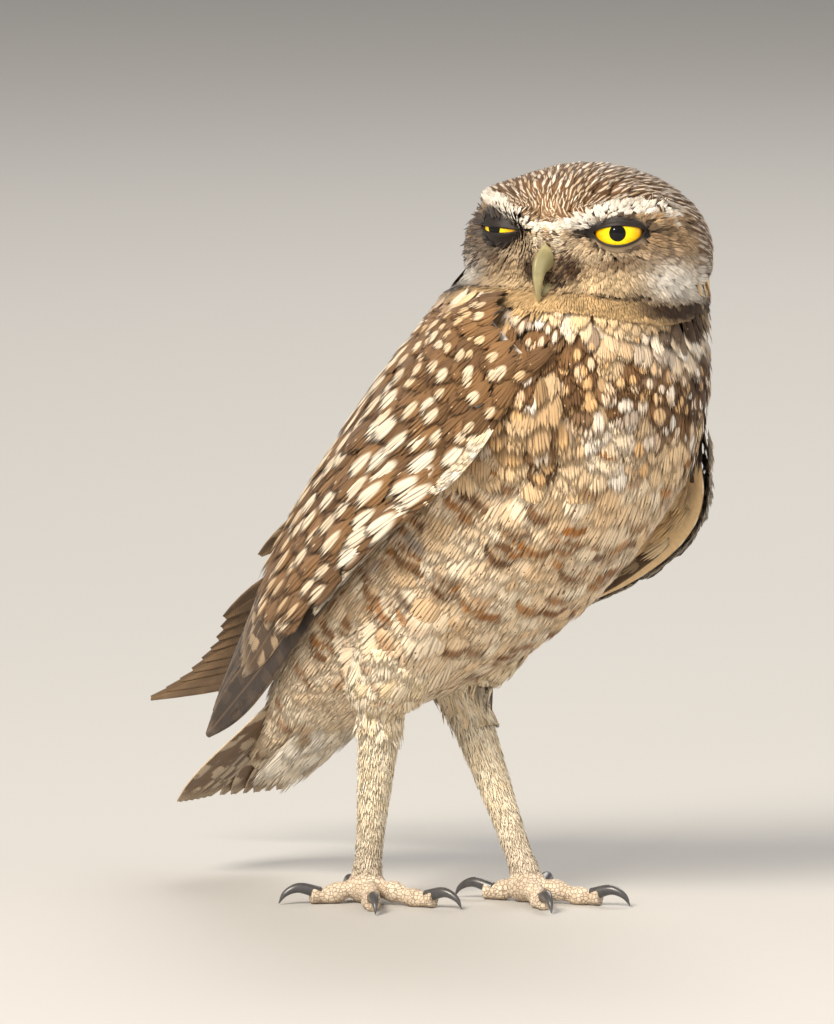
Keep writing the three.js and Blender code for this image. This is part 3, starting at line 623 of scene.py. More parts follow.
def marking_group():
    """Feather markings: spots, bars, shaft streak and pale edge, in the feather's own length and width."""
    tree = bpy.data.node_groups.new("feather markings", "ShaderNodeTree")
    for name, kind in (
        ("lock", "Vector"), ("kind", "Vector"), ("form", "Vector"), ("ground", "Color"), ("mark", "Color"),
    ):
        tree.interface.new_socket(name, in_out="INPUT", socket_type="NodeSocket" + kind)
    tree.interface.new_socket("colour", in_out="OUTPUT", socket_type="NodeSocketColor")
    given = tree.nodes.new("NodeGroupInput")
    lock, kind, form = (
        add(tree, "ShaderNodeSeparateXYZ", {0: given.outputs[name]}) for name in ("lock", "kind", "form")
    )
    along, across, chance = lock.outputs
    spot, bar, streak = kind.outputs
    pair, edge, seed = form.outputs
    own_place = maths(tree, "MULTIPLY", seed, 40.0)
    where = add(tree, "ShaderNodeCombineXYZ", {0: along, 1: across, 2: own_place}).outputs[0]
    wobble = maths(tree, "MULTIPLY", maths(tree, "SUBTRACT", noise(tree, where, 3.0, 2.0), 0.5), 0.5)
    side = maths(tree, "ABSOLUTE", across)
    length = maths(tree, "ADD", along, maths(tree, "MULTIPLY", wobble, 0.3))
    dx = maths(tree, "DIVIDE", side, 0.4)
    dy = maths(tree, "DIVIDE", maths(tree, "SUBTRACT", length, 0.74), scaled(tree, pair, 0.16, 0.18))
    oval = maths(tree, "ADD", maths(tree, "MULTIPLY", dx, dx), maths(tree, "MULTIPLY", dy, dy))
    oval = maths(tree, "DIVIDE", oval, maths(tree, "MAXIMUM", maths(tree, "MULTIPLY", spot, spot), 0.01))
    oval = maths(tree, "ADD", oval, wobble)
    spots = soft_step(tree, oval, 1.4, 0.55)
    bow = maths(tree, "MULTIPLY", maths(tree, "MULTIPLY", side, side), 0.14)
    band = maths(tree, "SUBTRACT", length, maths(tree, "SUBTRACT", 0.74, bow))
    bars = maths(tree, "MULTIPLY", soft_step(tree, maths(tree, "ABSOLUTE", band), 0.17, 0.03), bar)
    line = soft_step(tree, maths(tree, "ADD", side, wobble), 0.34, 0.14)
    streaks = maths(
        tree, "MULTIPLY", maths(tree, "MULTIPLY", line, soft_step(tree, along, 0.2, 0.5)), streak,
    )
    rim = soft_step(tree, maths(tree, "ADD", length, maths(tree, "MULTIPLY", side, 0.1)), 0.88, 0.98)
    rims = maths(tree, "MULTIPLY", rim, edge)
    mask = maths(
        tree, "MAXIMUM", maths(tree, "MAXIMUM", spots, bars), maths(tree, "MAXIMUM", streaks, rims),
    )
    colour = tint(tree, "MIX", mask, given.outputs["ground"], given.outputs["mark"])
    stretched = {
        0: maths(tree, "MULTIPLY", along, 1.6), 1: maths(tree, "MULTIPLY", across, 15.0), 2: own_place,
    }
    fine = add(tree, "ShaderNodeCombineXYZ", stretched).outputs[0]
    barbs = noise(tree, fine, 1.0, 1.0)
    shade = maths(tree, "ADD", maths(tree, "MULTIPLY", chance, 0.16), scaled(tree, barbs, 0.5, 0.68))
    root = scaled(tree, soft_step(tree, along, 0.0, 0.45), 0.15, 0.85)
    dip = maths(tree, "MULTIPLY", soft_step(tree, side, 0.1, 0.03), maths(tree, "MULTIPLY", spots, 0.15))
    quill = maths(tree, "SUBTRACT", 1.0, dip)
    level = maths(tree, "MULTIPLY", maths(tree, "MULTIPLY", shade, root), quill)
    out = tree.nodes.new("NodeGroupOutput")
    tree.links.new(tint(tree, "MULTIPLY", 1.0, colour, grey(tree, level)), out.inputs["colour"])
    return tree


MARKINGS = marking_group()
# Share of the light's normal that is the whole feather's, and how far a lock may face away and still count
BEND_SHARE, BEND_SLACK = 0.72, 0.6


def feather_material():
    """Feather finish: the markings as colour, and light taken mostly by the whole feather's own bend."""
    material, tree, bsdf = shader(
        "plumage", 0.72, Sheen_Weight=0.15, Sheen_Roughness=0.5, Specular_IOR_Level=0.25,
    )
    group = tree.nodes.new("ShaderNodeGroup")
    group.node_tree = MARKINGS
    for key in ("lock", "kind", "form", "ground", "mark"):
        tree.links.new(value_at(tree, key, "Vector"), group.inputs[key])
    tree.links.new(group.outputs["colour"], bsdf.inputs["Base Color"])
    facing = add(tree, "ShaderNodeNewGeometry").outputs["Normal"]
    bend = value_at(tree, "bend", "Vector")
    apart = add(
        tree, "ShaderNodeVectorMath", {0: facing, 1: bend}, operation="DOT_PRODUCT",
    ).outputs["Value"]
    same_way = maths(tree, "SIGN", maths(tree, "ADD", apart, BEND_SLACK))
    turned = add(tree, "ShaderNodeVectorMath", {0: bend, 3: same_way}, operation="SCALE").outputs[0]
    mean = add(tree, "ShaderNodeMix", {0: BEND_SHARE, 4: facing, 5: turned}, data_type="VECTOR").outputs[1]
    normal = add(tree, "ShaderNodeVectorMath", {0: mean}, operation="NORMALIZE").outputs[0]
    tree.links.new(normal, bsdf.inputs["Normal"])
    return material


PLUMAGE = feather_material()


def sample(surface, rows, columns, wrap, out=1.0):
    """A surface function of two shares kept as a fine grid of points and outward directions."""
    a, b = np.meshgrid(np.linspace(0, 1, rows), np.linspace(0, 1, columns), indexing="ij")
    step = 2e-3
    points = surface(a, b)
    run_a = surface(np.minimum(a + step, 1), b) - surface(np.maximum(a - step, 0), b)
    if wrap:
        run_b = surface(a, b + step) - surface(a, b - step)
    else:
        run_b = surface(a, np.minimum(b + step, 1)) - surface(a, np.maximum(b - step, 0))
    return points, unit(np.cross(run_a, run_b)) * out, wrap


def on(sheet, a, b, height=0.0):
    """Points on a kept surface at two shares, raised by a height."""
    points, normals, wrap = sheet
    rows, columns = points.shape[:2]
    x = np.clip(a, 0, 1) * (rows - 1)
    y = (b % 1 if wrap else np.clip(b, 0, 1)) * (columns - 1)
    i, j = np.minimum(x.astype(int), rows - 2), np.minimum(y.astype(int), columns - 2)
    f, g = (x - i)[..., None], (y - j)[..., None]

    def blend(grid):
        low = grid[i, j] * (1 - g) + grid[i, j + 1] * g
        high = grid[i + 1, j] * (1 - g) + grid[i + 1, j + 1] * g
        return low * (1 - f) + high * f

    return blend(points) + np.asarray(height)[..., None] * unit(blend(normals))


def laid(sheet, a, b, lie, flip=1.0):
    """Placer for feathers rooted at shares a and b of a kept surface, lying along the directions lie."""
    step = 3e-3
    run_a = (on(sheet, a + step, b) - on(sheet, a - step, b)) / (2 * step)
    run_b = (on(sheet, a, b + step) - on(sheet, a, b - step)) / (2 * step)
    normal = (on(sheet, a, b, np.ones_like(a)) - on(sheet, a, b)) * flip
    along = unit(lie - np.einsum("nk,nk->n", lie, normal)[:, None] * normal)
    across = np.cross(normal, along)
    aa, bb, ab = (np.einsum("nk,nk->n", p, q) for p, q in ((run_a, run_a), (run_b, run_b), (run_a, run_b)))
    det = np.maximum(aa * bb - ab * ab, 1e-6)
    ways = []
    for way in (along, across):
        pa, pb = np.einsum("nk,nk->n", run_a, way), np.einsum("nk,nk->n", run_b, way)
        ways.append(((bb * pa - ab * pb) / det, (aa * pb - ab * pa) / det))

    def place(i, s, x, height):
        return on(
            sheet, a[i] + ways[0][0][i] * s + ways[1][0][i] * x,
            b[i] + ways[0][1][i] * s + ways[1][1][i] * x, height * flip,
        )

    return place


def unwrap(across, down):
    """Places on the bake map of roots at two shares of a surface, a little inside its border."""
    return np.stack([across * 0.95 + 0.02, down * 0.95 + 0.02], -1)


def downwards(sheet, a, b, step=0.03):
    """Way that runs down a kept surface at two shares."""
    return on(sheet, a + step, b) - on(sheet, a - step, b)


def way_out(sheet, b, inside):
    """1 where the surface's directions point away from a point inside it, or else -1, at half its length."""
    middle = np.array([0.5]), np.array([b])
    surface = on(sheet, *middle)
    normal = on(sheet, *middle, np.array([1.0])) - surface
    return 1.0 if (normal * (surface - inside)).sum() > 0 else -1.0


# Height of a lock's ridge in mm, and size of a feather's patch on the bake map
LOCK_RIDGE, PATCH = 0.09, 0.003


def coat(
    name, place, count, length, width, rise, look, uv, locks=11, seed=1, fan=0.35, crown=0.12, girth=1.7,
):
    """Soft feathers, each a fan of thin closed locks that share the feather's outline, bend and markings.

    rise holds the height of root and tip; look holds kind, form, ground and mark for each feather.
    """
    rng = np.random.default_rng(seed)
    share = np.linspace(-1, 1, locks) * 0.92 + rng.uniform(-0.5, 0.5, (count, locks)) / locks
    start = rng.uniform(0, 0.25, (count, locks)) + 0.12 * np.abs(share)
    stop = (1 - 0.34 * np.abs(share) ** 2.2) * rng.uniform(0.9, 1.03, (count, locks))
    # A lock has three rings of three points and a tip: their shares of its length, sides and half widths
    rings = np.array([0, 0, 0, 0.38, 0.38, 0.38, 0.74, 0.74, 0.74, 1.0])
    sides = np.array([-1, 0, 1] * 3 + [0])
    half = np.array([0.55] * 3 + [1.0] * 3 + [0.8] * 3 + [0])
    s = start[..., None] + (stop - start)[..., None] * rings
    wide = 0.5 * width[:, None, None]
    spread = fan + (1 - fan) * ramp(s, 0, 0.6)
    curl = rng.normal(0, 0.05, (count, locks, 1)) * s
    x = (share[..., None] * spread + curl) * wide + sides * half * (wide * girth / locks)
    low, high = rise
    height = low[:, None, None] + (high - low)[:, None, None] * ramp(s, -0.15, 1.0)
    height = height - crown * wide * share[..., None] ** 2
    height = height + (sides == 0) * LOCK_RIDGE
    height = height + rng.uniform(-0.11, 0.11, (count, locks, 1)) * ramp(s, 0, 0.8)
    i = np.broadcast_to(np.arange(count)[:, None, None], s.shape)
    along = s * length[:, None, None]
    points = place(i, along, x, height)
    above = place(i, along, x, height + 1)
    across = place(i, along, x + 0.5, height)
    bend = unit(unit(above - points) + unit(across - points) * (0.45 * x / wide)[..., None])
    lock = np.stack([s, x / wide, np.broadcast_to(rng.uniform(0, 1, (count, locks, 1)), s.shape)], -1)
    values = {"bend": bend.reshape(-1, 3), "lock": lock.reshape(-1, 3)}
    for key, value in zip(("kind", "form", "ground", "mark"), look):
        values[key] = np.broadcast_to(value[:, None, None], (*s.shape, 3)).reshape(-1, 3)
    a, b = np.array([0, 1, 2]), np.array([1, 2, 0])
    quads = [np.stack([r * 3 + a, r * 3 + 3 + a, r * 3 + 3 + b], 1) for r in (0, 1)]
    quads += [np.stack([r * 3 + a, r * 3 + 3 + b, r * 3 + b], 1) for r in (0, 1)]
    ends = [np.array([[0, 1, 2]]), np.stack([6 + a, np.full(3, 9), 6 + b], 1)]
    one = np.vstack(quads + ends)
    triangles = (np.arange(count * locks)[:, None, None] * 10 + one).reshape(-1, 3)
    patch = uv[:, None, None] + np.stack([s - 0.5, x / wide * 0.5], -1) * PATCH
    return piece(name, points.reshape(-1, 3), triangles, PLUMAGE, values, patch.reshape(-1, 2))


BODY_SHEET = sample(body, 160, 160, True, -1.0)


def body_rows(low, high, pitch, spacing, rng):
    """Shares and turns of feather roots in staggered rows, evenly spaced over the body's surface."""
    shares, turns = [], []
    fine = np.linspace(low, high, 400)
    line = on(BODY_SHEET, fine, np.full(400, 0.5))
    reach = np.concatenate([[0], np.cumsum(np.linalg.norm(np.diff(line, axis=0), axis=1))])
    for row, at in enumerate(np.arange(0, reach[-1], pitch)):
        share = np.interp(at, reach, fine)
        ring = on(BODY_SHEET, np.full(65, share), np.linspace(0, 1, 65))
        round_it = np.linalg.norm(np.diff(ring, axis=0), axis=1).sum()
        number = max(int(round_it / spacing), 6)
        turns.append((np.arange(number) + 0.5 * (row % 2)) / number + rng.normal(0, 0.16, number) / number)
        shares.append(share + rng.normal(0, 0.13 * pitch / reach[-1] * (high - low), number))
    return np.clip(np.concatenate(shares), low, high), np.concatenate(turns) % 1


def over_thigh(points, normals):
    """Height that lifts a point along its normal on to a thigh it lies in: the way out of a round tube."""
    lift = np.zeros(len(points))
    for hip, heel in THIGHS.values():
        axis = np.subtract(heel, hip)
        t = np.clip((points - hip) @ axis / (axis @ axis), 0, 1)
        apart = points - hip - t[:, None] * axis
        radius = (13.4 - 3.4 * ramp(t, 0.4, 0.8)) * (1 - ramp(t, 0.62, 1))
        out = np.einsum("nk,nk->n", apart, normals)
        inside = out ** 2 - (apart ** 2).sum(1) + radius ** 2
        lift = np.maximum(lift, np.where(inside > 0, np.sqrt(np.maximum(inside, 0)) - out, 0))
    return np.clip(lift, 0, 8)


rng = np.random.default_rng(7)
share, turn = body_rows(0.05, 0.86, 4.0, 4.4, rng)
root = on(BODY_SHEET, share, turn)
backward = unit(on(BODY_SHEET, share - 0.02, turn) - on(BODY_SHEET, share + 0.02, turn))
lie = backward + [0, 0, -0.15] + rng.normal(0, 0.06, (len(share), 3))
over = np.sin(2 * np.pi * turn)
length = (
    15.5 - 4.5 * ramp(root[:, 2], 120, 160) + 4 * (1 - ramp(root[:, 2], 50, 80))
    + rng.normal(0, 0.8, len(share))
)
width = 9.5 - 2 * ramp(root[:, 2], 120, 160) + rng.normal(0, 0.5, len(share))
UNDER_COLLAR = 136
kept = root[:, 2] < UNDER_COLLAR
groups = {"coat_belly": over < 0.1, "coat_back": over >= 0.1}
for number, (name, chosen) in enumerate(groups.items()):
    chosen = chosen & kept
    n = int(chosen.sum())
    look = body_colours(root[chosen], share[chosen], turn[chosen], rng)
    place = laid(BODY_SHEET, share[chosen], turn[chosen], lie[chosen])
    normal = on(BODY_SHEET, share[chosen], turn[chosen], np.ones(n)) - root[chosen]
    tips = root[chosen] + backward[chosen] * length[chosen, None]
    rise = over_thigh(root[chosen], normal) - 2.4, over_thigh(tips, normal) + rng.uniform(-0.3, 0.7, n)
    uv = unwrap(turn[chosen], share[chosen])
    made = coat(
        name, place, n, length[chosen], width[chosen], rise, look, uv, locks=14 if number == 0 else 11,
        seed=20 + number, girth=1.8,
    )

# Collar coat: feathers of throat, nape and upper breast in rows down the neck, each over the next one down,
# on a hull of head and shoulders. Buff chin band, white crescent, dark half collar, brown breast with spots.
COLLAR_SHEET = sample(collar, 120, 288, True)
ROUND_THE_NECK = 195
rng = np.random.default_rng(31)
shares, turns = [], []
for row, z in enumerate(np.concatenate([np.arange(119, 148, 3.2), np.arange(148, 171, 2.3)])):
    number = int(ROUND_THE_NECK / (4.2 if z < 148 else 3.3))
    turns.append((np.arange(number) + 0.5 * (row % 2)) / number + rng.normal(0, 0.26, number) / number)
    shares.append((COLLAR_HIGH - z + rng.normal(0, 1.4, number)) / (COLLAR_HIGH - COLLAR_LOW))
share, turn = np.concatenate(shares), np.concatenate(turns) % 1
root = on(COLLAR_SHEET, share, turn)
ahead, aside = (root - HEAD_CENTRE) @ AHEAD, (root - HEAD_CENTRE) @ ASIDE
under_face = (ahead > 0) & (root[:, 2] > 165)
keep = ~under_face & (root[:, 2] > 119 + rng.uniform(0, 11, len(share)))
share, turn, root = share[keep], turn[keep], root[keep]
n = len(share)
lie = on(COLLAR_SHEET, share + 0.02, turn) - root + rng.normal(0, 0.12, (n, 3))
length = 8.5 + 4.5 * ramp(160 - root[:, 2], 0, 20) + rng.normal(0, 1.1, n)
width = (3.4 + 5.8 * ramp(160 - root[:, 2], 0, 22)) * rng.uniform(0.75, 1.15, n)
look = throat_colours(root[:, 2] - 0.75 * length, turn * 360, root, rng)
shoulder = np.zeros(n)
for start, stop in (([-36, -54, 141], [-14, -20, 160]), ([40, -46, 125], [14, -20, 160])):
    line = np.subtract(stop, start)
    at = np.clip((root - start) @ line / (line @ line), 0, 1)
    gap = np.linalg.norm(root - start - at[:, None] * line, axis=1)
    shoulder = np.maximum(shoulder, 1 - ramp(gap, 5, 14))
rise = -2.0 + 3.4 * shoulder, rng.uniform(-0.2, 0.7, n) + 4.2 * shoulder
uv = unwrap(turn, share)
made = coat(
    "coat_neck", laid(COLLAR_SHEET, share, turn, lie), n, length, width, rise, look, uv, locks=13, seed=24,
    fan=0.55, girth=2.0,
)

# Head coat: the smallest feathers, that part from the eyes and the bill, over crown and nape to the collar,
# with stiff dark bristles beside the bill. Each group is laid on the head's own surface, clear of the eyes.
def head_and_collar(ways, grow=0.0):
    """Head's surface, let out to the collar's where the collar is the wider of the two."""
    grow = np.asarray(grow, float)
    points = shell_of_head(ways, grow)
    offset = points - HEAD_CENTRE
    wide = np.hypot(offset[..., 0], offset[..., 1])
    turn = np.arctan2(offset[..., 1], offset[..., 0]) / (2 * np.pi)
    ring = collar((COLLAR_HIGH - points[..., 2]) / (COLLAR_HIGH - COLLAR_LOW), turn, grow)
    reach = np.hypot(ring[..., 0], ring[..., 1] - HEAD_CENTRE[1])
    beyond = np.maximum(reach / np.maximum(wide, 6) - 1, 0)
    more = beyond * (1 - ramp(points[..., 2], 160, 168)) * ramp(wide, 5, 14)
    return points + offset * [1, 1, 0] * more[..., None]


def laid_on_head(ways, lie):
    """Placer for feathers rooted on the head along unit directions from its centre."""
    base = head_and_collar(ways)
    step = 0.02
    side = unit(np.cross(ways, UP + 1e-4))
    high = np.cross(side, ways)
    normal = unit(np.cross(
        head_and_collar(unit(ways + side * step)) - head_and_collar(unit(ways - side * step)),
        head_and_collar(unit(ways + high * step)) - head_and_collar(unit(ways - high * step)),
    ))
    normal *= np.sign(np.einsum("nk,nk->n", normal, ways))[:, None]
    along = unit(lie - np.einsum("nk,nk->n", lie, normal)[:, None] * normal)
    across = np.cross(normal, along)

    def place(i, s, x, height):
        point = base[i] + along[i] * s[..., None] + across[i] * x[..., None]
        point = head_and_collar(unit(point - HEAD_CENTRE), height)
        for side in (-1, 1):
            ball = eye_axes(side)[0] + EYE_LIFT
            gap = np.linalg.norm(point - ball, axis=-1)
            least = EYE_RADIUS + 0.7 + np.clip(height, -0.35, 0.8)
            point = ball + (point - ball) * np.maximum(1, least / gap)[..., None]
        return point

    return place


def head_ways(number, seed, jitter):
    """Nearly even unit directions, each moved by a random jitter."""
    rng = np.random.default_rng(seed)
    return unit(spread_ways(number) + rng.normal(0, jitter, (number, 3)))


def dress_head(name, number, seed, choose, length, width, locks, lift, tone=None):
    """Lays one group of the head's feathers, where choose holds in the head's own distances."""
    rng = np.random.default_rng(seed)
    ways = head_ways(number, seed, 0.25 * math.sqrt(12.6 / number))
    local = shell_of_head(ways) - HEAD_CENTRE
    p, q, h = local @ AHEAD, local @ ASIDE, local[:, 2]
    chosen = choose(p, q, h)
    ways, local, p, q, h = ways[chosen], local[chosen], p[chosen], q[chosen], h[chosen]
    n = len(p)
    a, side = np.abs(q), np.sign(q)
    from_eye = np.stack([0 * q, q - side * 17.3, h - 4], -1)
    from_eye = unit(from_eye) * ramp(24 - np.hypot(a - 17, h - 4), 0, 10)[:, None]
    from_bill = unit(np.stack([0 * q, q, h - 3.5], -1))
    crown = ramp(h - 0.25 * a, 5.5, 9)
    sweep = np.stack([-1.0 + 0 * q, 0.03 * q, -0.25 + 0 * q], -1)
    down = np.stack([0 * q, 0 * q, -1.0 + 0 * q], -1)
    front = ramp(p, 0, 8)
    flow = (
        from_eye * (front * (1 - 0.75 * crown))[:, None]
        + from_bill * (0.25 + crown)[:, None] * front[:, None]
    )
    flow = (
        flow + sweep * (1.1 * (1 - front) + 0.35 * crown)[:, None]
        + down * (ramp(-p, 0, 16) * 1.2 + ramp(-h, 6, 14) * 0.9)[:, None]
    )
    flow = flow + rng.normal(0, 0.13, (n, 3))
    lie = flow[:, :1] * AHEAD + flow[:, 1:2] * ASIDE + flow[:, 2:] * UP
    size = 1 - 0.45 * front * bump(np.hypot(a - 17, h - 4), 13)
    size = size * (1 + 0.6 * ramp(-h, 12, 20))
    seen = unit(lie - np.einsum("nk,nk->n", lie, ways)[:, None] * ways) * (0.6 * length * size)[:, None]
    ground, mark, streak = face_colours(p + seen @ AHEAD, q + seen @ ASIDE, h + seen[:, 2], rng)
    if tone is not None:
        ground = mark = tone * rng.uniform(0.7, 1.4, (n, 1))
    look = looks(
        n, streak=streak * rng.uniform(0.5, 1, n), seed=rng.uniform(0, 1, n), ground=ground, mark=mark,
    )
    rise = np.full(n, -1.2), rng.uniform(0.1, 0.75, n) * lift
    uv = np.stack(
        [
            (np.arctan2(ways @ ASIDE, ways @ AHEAD) / (2 * np.pi) + 0.5) * 0.95 + 0.02,
            (ways[:, 2] + 1) * 0.47 + 0.02,
        ],
        -1,
    )
    made = coat(
        name, laid_on_head(ways, lie), n, length * size * rng.uniform(0.85, 1.15, n),
        width * size * rng.uniform(0.9, 1.1, n), rise, look, uv, locks=locks, seed=seed, fan=0.5, girth=1.6,
        crown=0.08,
    )


def on_face(p, q, h):
    """Whether a place on the head is on its front, below the crown and above the throat."""
    return (p > 3) & (h < 12.5 + 0 * q) & (h > -20.5)


def near_lid(q, h):
    """Whether a place on the face is inside the oval of bare skin round an eye."""
    high, low = np.where(q > 0, 1.9, 0.8), np.where(q > 0, 2.9, 1.7)
    return np.hypot((np.abs(q) - 17.2) / 7.1, (h - 4.5) / np.where(h > 4.5, high, low)) < 1


def face_place(p, q, h):
    """Whether a place has face feathers: on the front, clear of the lids and of the bill's oval root."""
    return on_face(p, q, h) & ~near_lid(q, h) & (np.hypot(q / 2.0, (h + 6.5) / 5.5) > 1)


def crown_place(p, q, h):
    """Whether a place is on the crown, the nape or a side of the head."""
    return ~on_face(p, q, h) & (h > -17)


def bristle_and_shade_place(p, q, h):
    """Whether a place has dark bristles: an oval either side of the bill, and the far edge of the face, where
    they are both bristles and painted shade round the far eye.
    """
    beside_bill = np.hypot((np.abs(q) - 4.6) / 3.2, (h + 1.5) / 5.5) < 1
    return (p > 2) & (beside_bill | ((q < -23) & (np.abs(h - 2.5) < 7)))


dress_head("coat_face", 8200, 41, face_place, 4.6, 2.0, 5, 0.9)
dress_head("coat_crown", 2300, 42, crown_place, 7.4, 3.7, 8, 1.0)
# Dark bristles beside the bill; along the far edge of the face they are also painted shade round the far eye
dress_head("bristles", 5200, 43, bristle_and_shade_place, 6.5, 0.8, 2, 2.6, srgb(70, 52, 40))

# Eyes: smooth wet balls with a yellow iris and a black pupil, each sunk in its socket under the lids.
# The colours go by the angle from the gaze, with a few fibres that run out from the pupil.
def rgba(colour):
    """Colour as a shader socket takes it."""
    return (*[float(c) for c in colour], 1.0)


EYE, tree, bsdf = shader("eye", 0.4, Coat_Weight=0.4, Coat_Roughness=0.02, Specular_IOR_Level=0.05)
ring = value_at(tree, "ring")
fibres = noise(tree, value_at(tree, "fibre", "Vector"), 1.0, 2.0)
yellow = tint(tree, "MIX", soft_step(tree, ring, 17, 44), rgba(srgb(252, 222, 22)), rgba(srgb(232, 172, 8)))
deep = maths(tree, "MULTIPLY", soft_step(tree, fibres, 0.35, 0.75), 0.45)
yellow = tint(tree, "MIX", deep, yellow, rgba(srgb(205, 140, 10)))
yellow = tint(tree, "MIX", soft_step(tree, ring, 40, 50), yellow, rgba(srgb(60, 38, 14)))
edge = maths(tree, "ADD", ring, maths(tree, "MULTIPLY", fibres, 1.2))
tree.links.new(
    tint(tree, "MIX", soft_step(tree, edge, 16.0, 17.0), rgba(srgb(6, 6, 8)), yellow),
    bsdf.inputs["Base Color"],
)
for name, side in (("left", 1), ("right", -1)):
    centre, looks_at, outer = eye_axes(side)
    centre = centre + EYE_LIFT
    gaze = unit(looks_at - 0.01 * UP)
    outer = unit(outer - (outer @ gaze) * gaze)
    high = np.cross(gaze, outer) * (1 if np.cross(gaze, outer)[2] > 0 else -1)
    open_angle, turn = np.meshgrid(
        np.radians(np.linspace(0.4, 179, 90)), np.linspace(0, 2 * np.pi, 96, endpoint=False), indexing="ij",
    )
    ways = (
        np.cos(open_angle)[..., None] * gaze
        + np.sin(open_angle)[..., None] * (np.cos(turn)[..., None] * outer + np.sin(turn)[..., None] * high)
    )
    points, triangles = closed_tube(centre + ways * (EYE_RADIUS - 0.05))
    ring_of = np.append(np.degrees(open_angle).ravel(), [0, 180])
    fibre = np.stack(
        [
            np.append(np.cos(turn).ravel(), [0, 0]) * 9, np.append(np.sin(turn).ravel(), [0, 0]) * 9,
            ring_of * 0.05,
        ],
        -1,
    )
    ball = piece(
        "eyeball_" + name, points, outward(points - centre, triangles), EYE,
        {"ring": ring_of, "fibre": fibre},
    )
    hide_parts("eye_" + name)

# Lids: dark bare skin round each half-closed eye, thick at the rim and creased beneath. Each is a closed
# band from the rim on the eyeball to a line on the head, where it runs in under the feathers.
def bumpy(tree, height, strength, distance):
    """Normal of a surface raised by the height, by up to distance in metres."""
    return add(
        tree, "ShaderNodeBump", {"Height": height, "Strength": strength, "Distance": distance},
    ).outputs[0]


LID, tree, bsdf = shader("lid", 0.5, Specular_IOR_Level=0.35)
crease = noise(tree, value_at(tree, "crease", "Vector"), 1.0, 3.0)
tone = grey(tree, maths(tree, "ADD", crease, 0.5))
tree.links.new(
    tint(tree, "MULTIPLY", 1.0, value_at(tree, "ground", "Vector"), tone), bsdf.inputs["Base Color"],
)
rough = bumpy(tree, crease, 0.5, 0.0004)
tree.links.new(rough, bsdf.inputs["Normal"])
for name, side in (("left", 1), ("right", -1)):
    centre, looks_at, outer = eye_axes(side)
    centre = centre + EYE_LIFT
    turn, share = np.meshgrid(
        np.linspace(0, 2 * np.pi, 96, endpoint=False), np.linspace(0, 1, 16), indexing="ij",
    )
    curve = np.abs(np.sin(turn)) ** 1.3 * np.sign(np.sin(turn))
    edge_a, edge_b = 6.4 * np.cos(turn) + 0.2, np.where(curve > 0, 1.7, 3.1) * curve + 0.35 * np.cos(turn)
    outer_a, outer_b = 9.4 * np.cos(turn) + 0.2, np.where(curve > 0, 4.2, 5.8) * np.sin(turn)
    if side < 0:
        edge_b = edge_b * 0.26 - 0.4
    rim = edge_a[..., None] * outer + edge_b[..., None] * UP
    depth = np.sqrt(np.maximum(EYE_RADIUS**2 - edge_a**2 - edge_b**2, 4))
    near = centre + rim + (depth[..., None] + 0.1) * looks_at
    far = centre + outer_a[..., None] * outer + outer_b[..., None] * UP + 5 * looks_at
    far = shell_of_head(unit(far - HEAD_CENTRE), -1.8)
    run = share[..., None]
    skin_line = near * (1 - run) + far * run
    swell = 0.6 * bump(share - 0.1, 0.1) + 0.12 * np.sin(share * 30) * ramp(-curve, 0.1, 0.6)
    surface = skin_line + (swell * ramp(share, -0.02, 0.06))[..., None] * looks_at
    clear = np.linalg.norm(surface - centre, axis=-1, keepdims=True)
    surface = centre + (surface - centre) * np.maximum(
        1, (EYE_RADIUS + 0.1 + 0.4 * (ramp(share, 0, 0.1) - ramp(share, 0.15, 0.4))[..., None]) / clear,
    )
    beneath = skin_line - 1.4 * looks_at
    loop = np.concatenate([surface, beneath[:, ::-1]], 1)
    rows, columns = loop.shape[:2]
    points = loop.reshape(-1, 3)
    r, c = np.meshgrid(np.arange(rows), np.arange(columns), indexing="ij")
    a, b = (r * columns + c).ravel(), (r * columns + (c + 1) % columns).ravel()
    d, e = ((r + 1) % rows * columns + c).ravel(), ((r + 1) % rows * columns + (c + 1) % columns).ravel()
    triangles = outward(points - centre, np.concatenate([np.stack([a, b, e], 1), np.stack([a, e, d], 1)]))
    dark = np.maximum(
        1 - ramp(share, np.where(curve > 0, 0.6, 0.12), np.where(curve > 0, 0.95, 0.3)),
        ramp(np.abs(np.cos(turn)), 0.75, 0.95),
    )
    # Painted shade: the far lid is dark all over, as that eye lies in shadow; the near lid is dark only at
    # its rim and corners
    dark = np.maximum(dark, 1.0 * (side < 0))
    tone = mixed(srgb(158, 138, 114), srgb(34, 27, 24), dark)
    tone = np.concatenate([tone, tone[:, ::-1]], 1).reshape(-1, 3)
    crease = np.stack([turn * 2.0, share * 14, 0 * turn], -1)
    crease = np.concatenate([crease, crease[:, ::-1]], 1).reshape(-1, 3)
    lid = piece("lid_" + name, points, triangles, LID, {"ground": tone, "crease": crease})

# Bill: olive horn, a hooked upper half ridged along its top and a short lower half that it closes over.
# Each is an oval swept along a curve from its root in the face, with a round nostril either side.
HORN, tree, bsdf = shader("horn", 0.38, Coat_Weight=0.15, Coat_Roughness=0.3)
place_of = add(tree, "ShaderNodeTexCoord").outputs["Object"]
grain = noise(tree, place_of, 900.0, 3.0)
cloud = noise(tree, place_of, 160.0, 2.0)
tone = tint(
    tree, "MIX", soft_step(tree, cloud, 0.3, 0.7), rgba(srgb(146, 136, 96)), rgba(srgb(184, 172, 126)),
)
tone = tint(tree, "MIX", maths(tree, "MULTIPLY", grain, 0.4), tone, rgba(srgb(120, 112, 76)))
tree.links.new(
    tint(tree, "MULTIPLY", 1.0, tone, value_at(tree, "ground", "Vector")), bsdf.inputs["Base Color"],
)
tree.links.new(bumpy(tree, grain, 0.15, 0.0003), bsdf.inputs["Normal"])


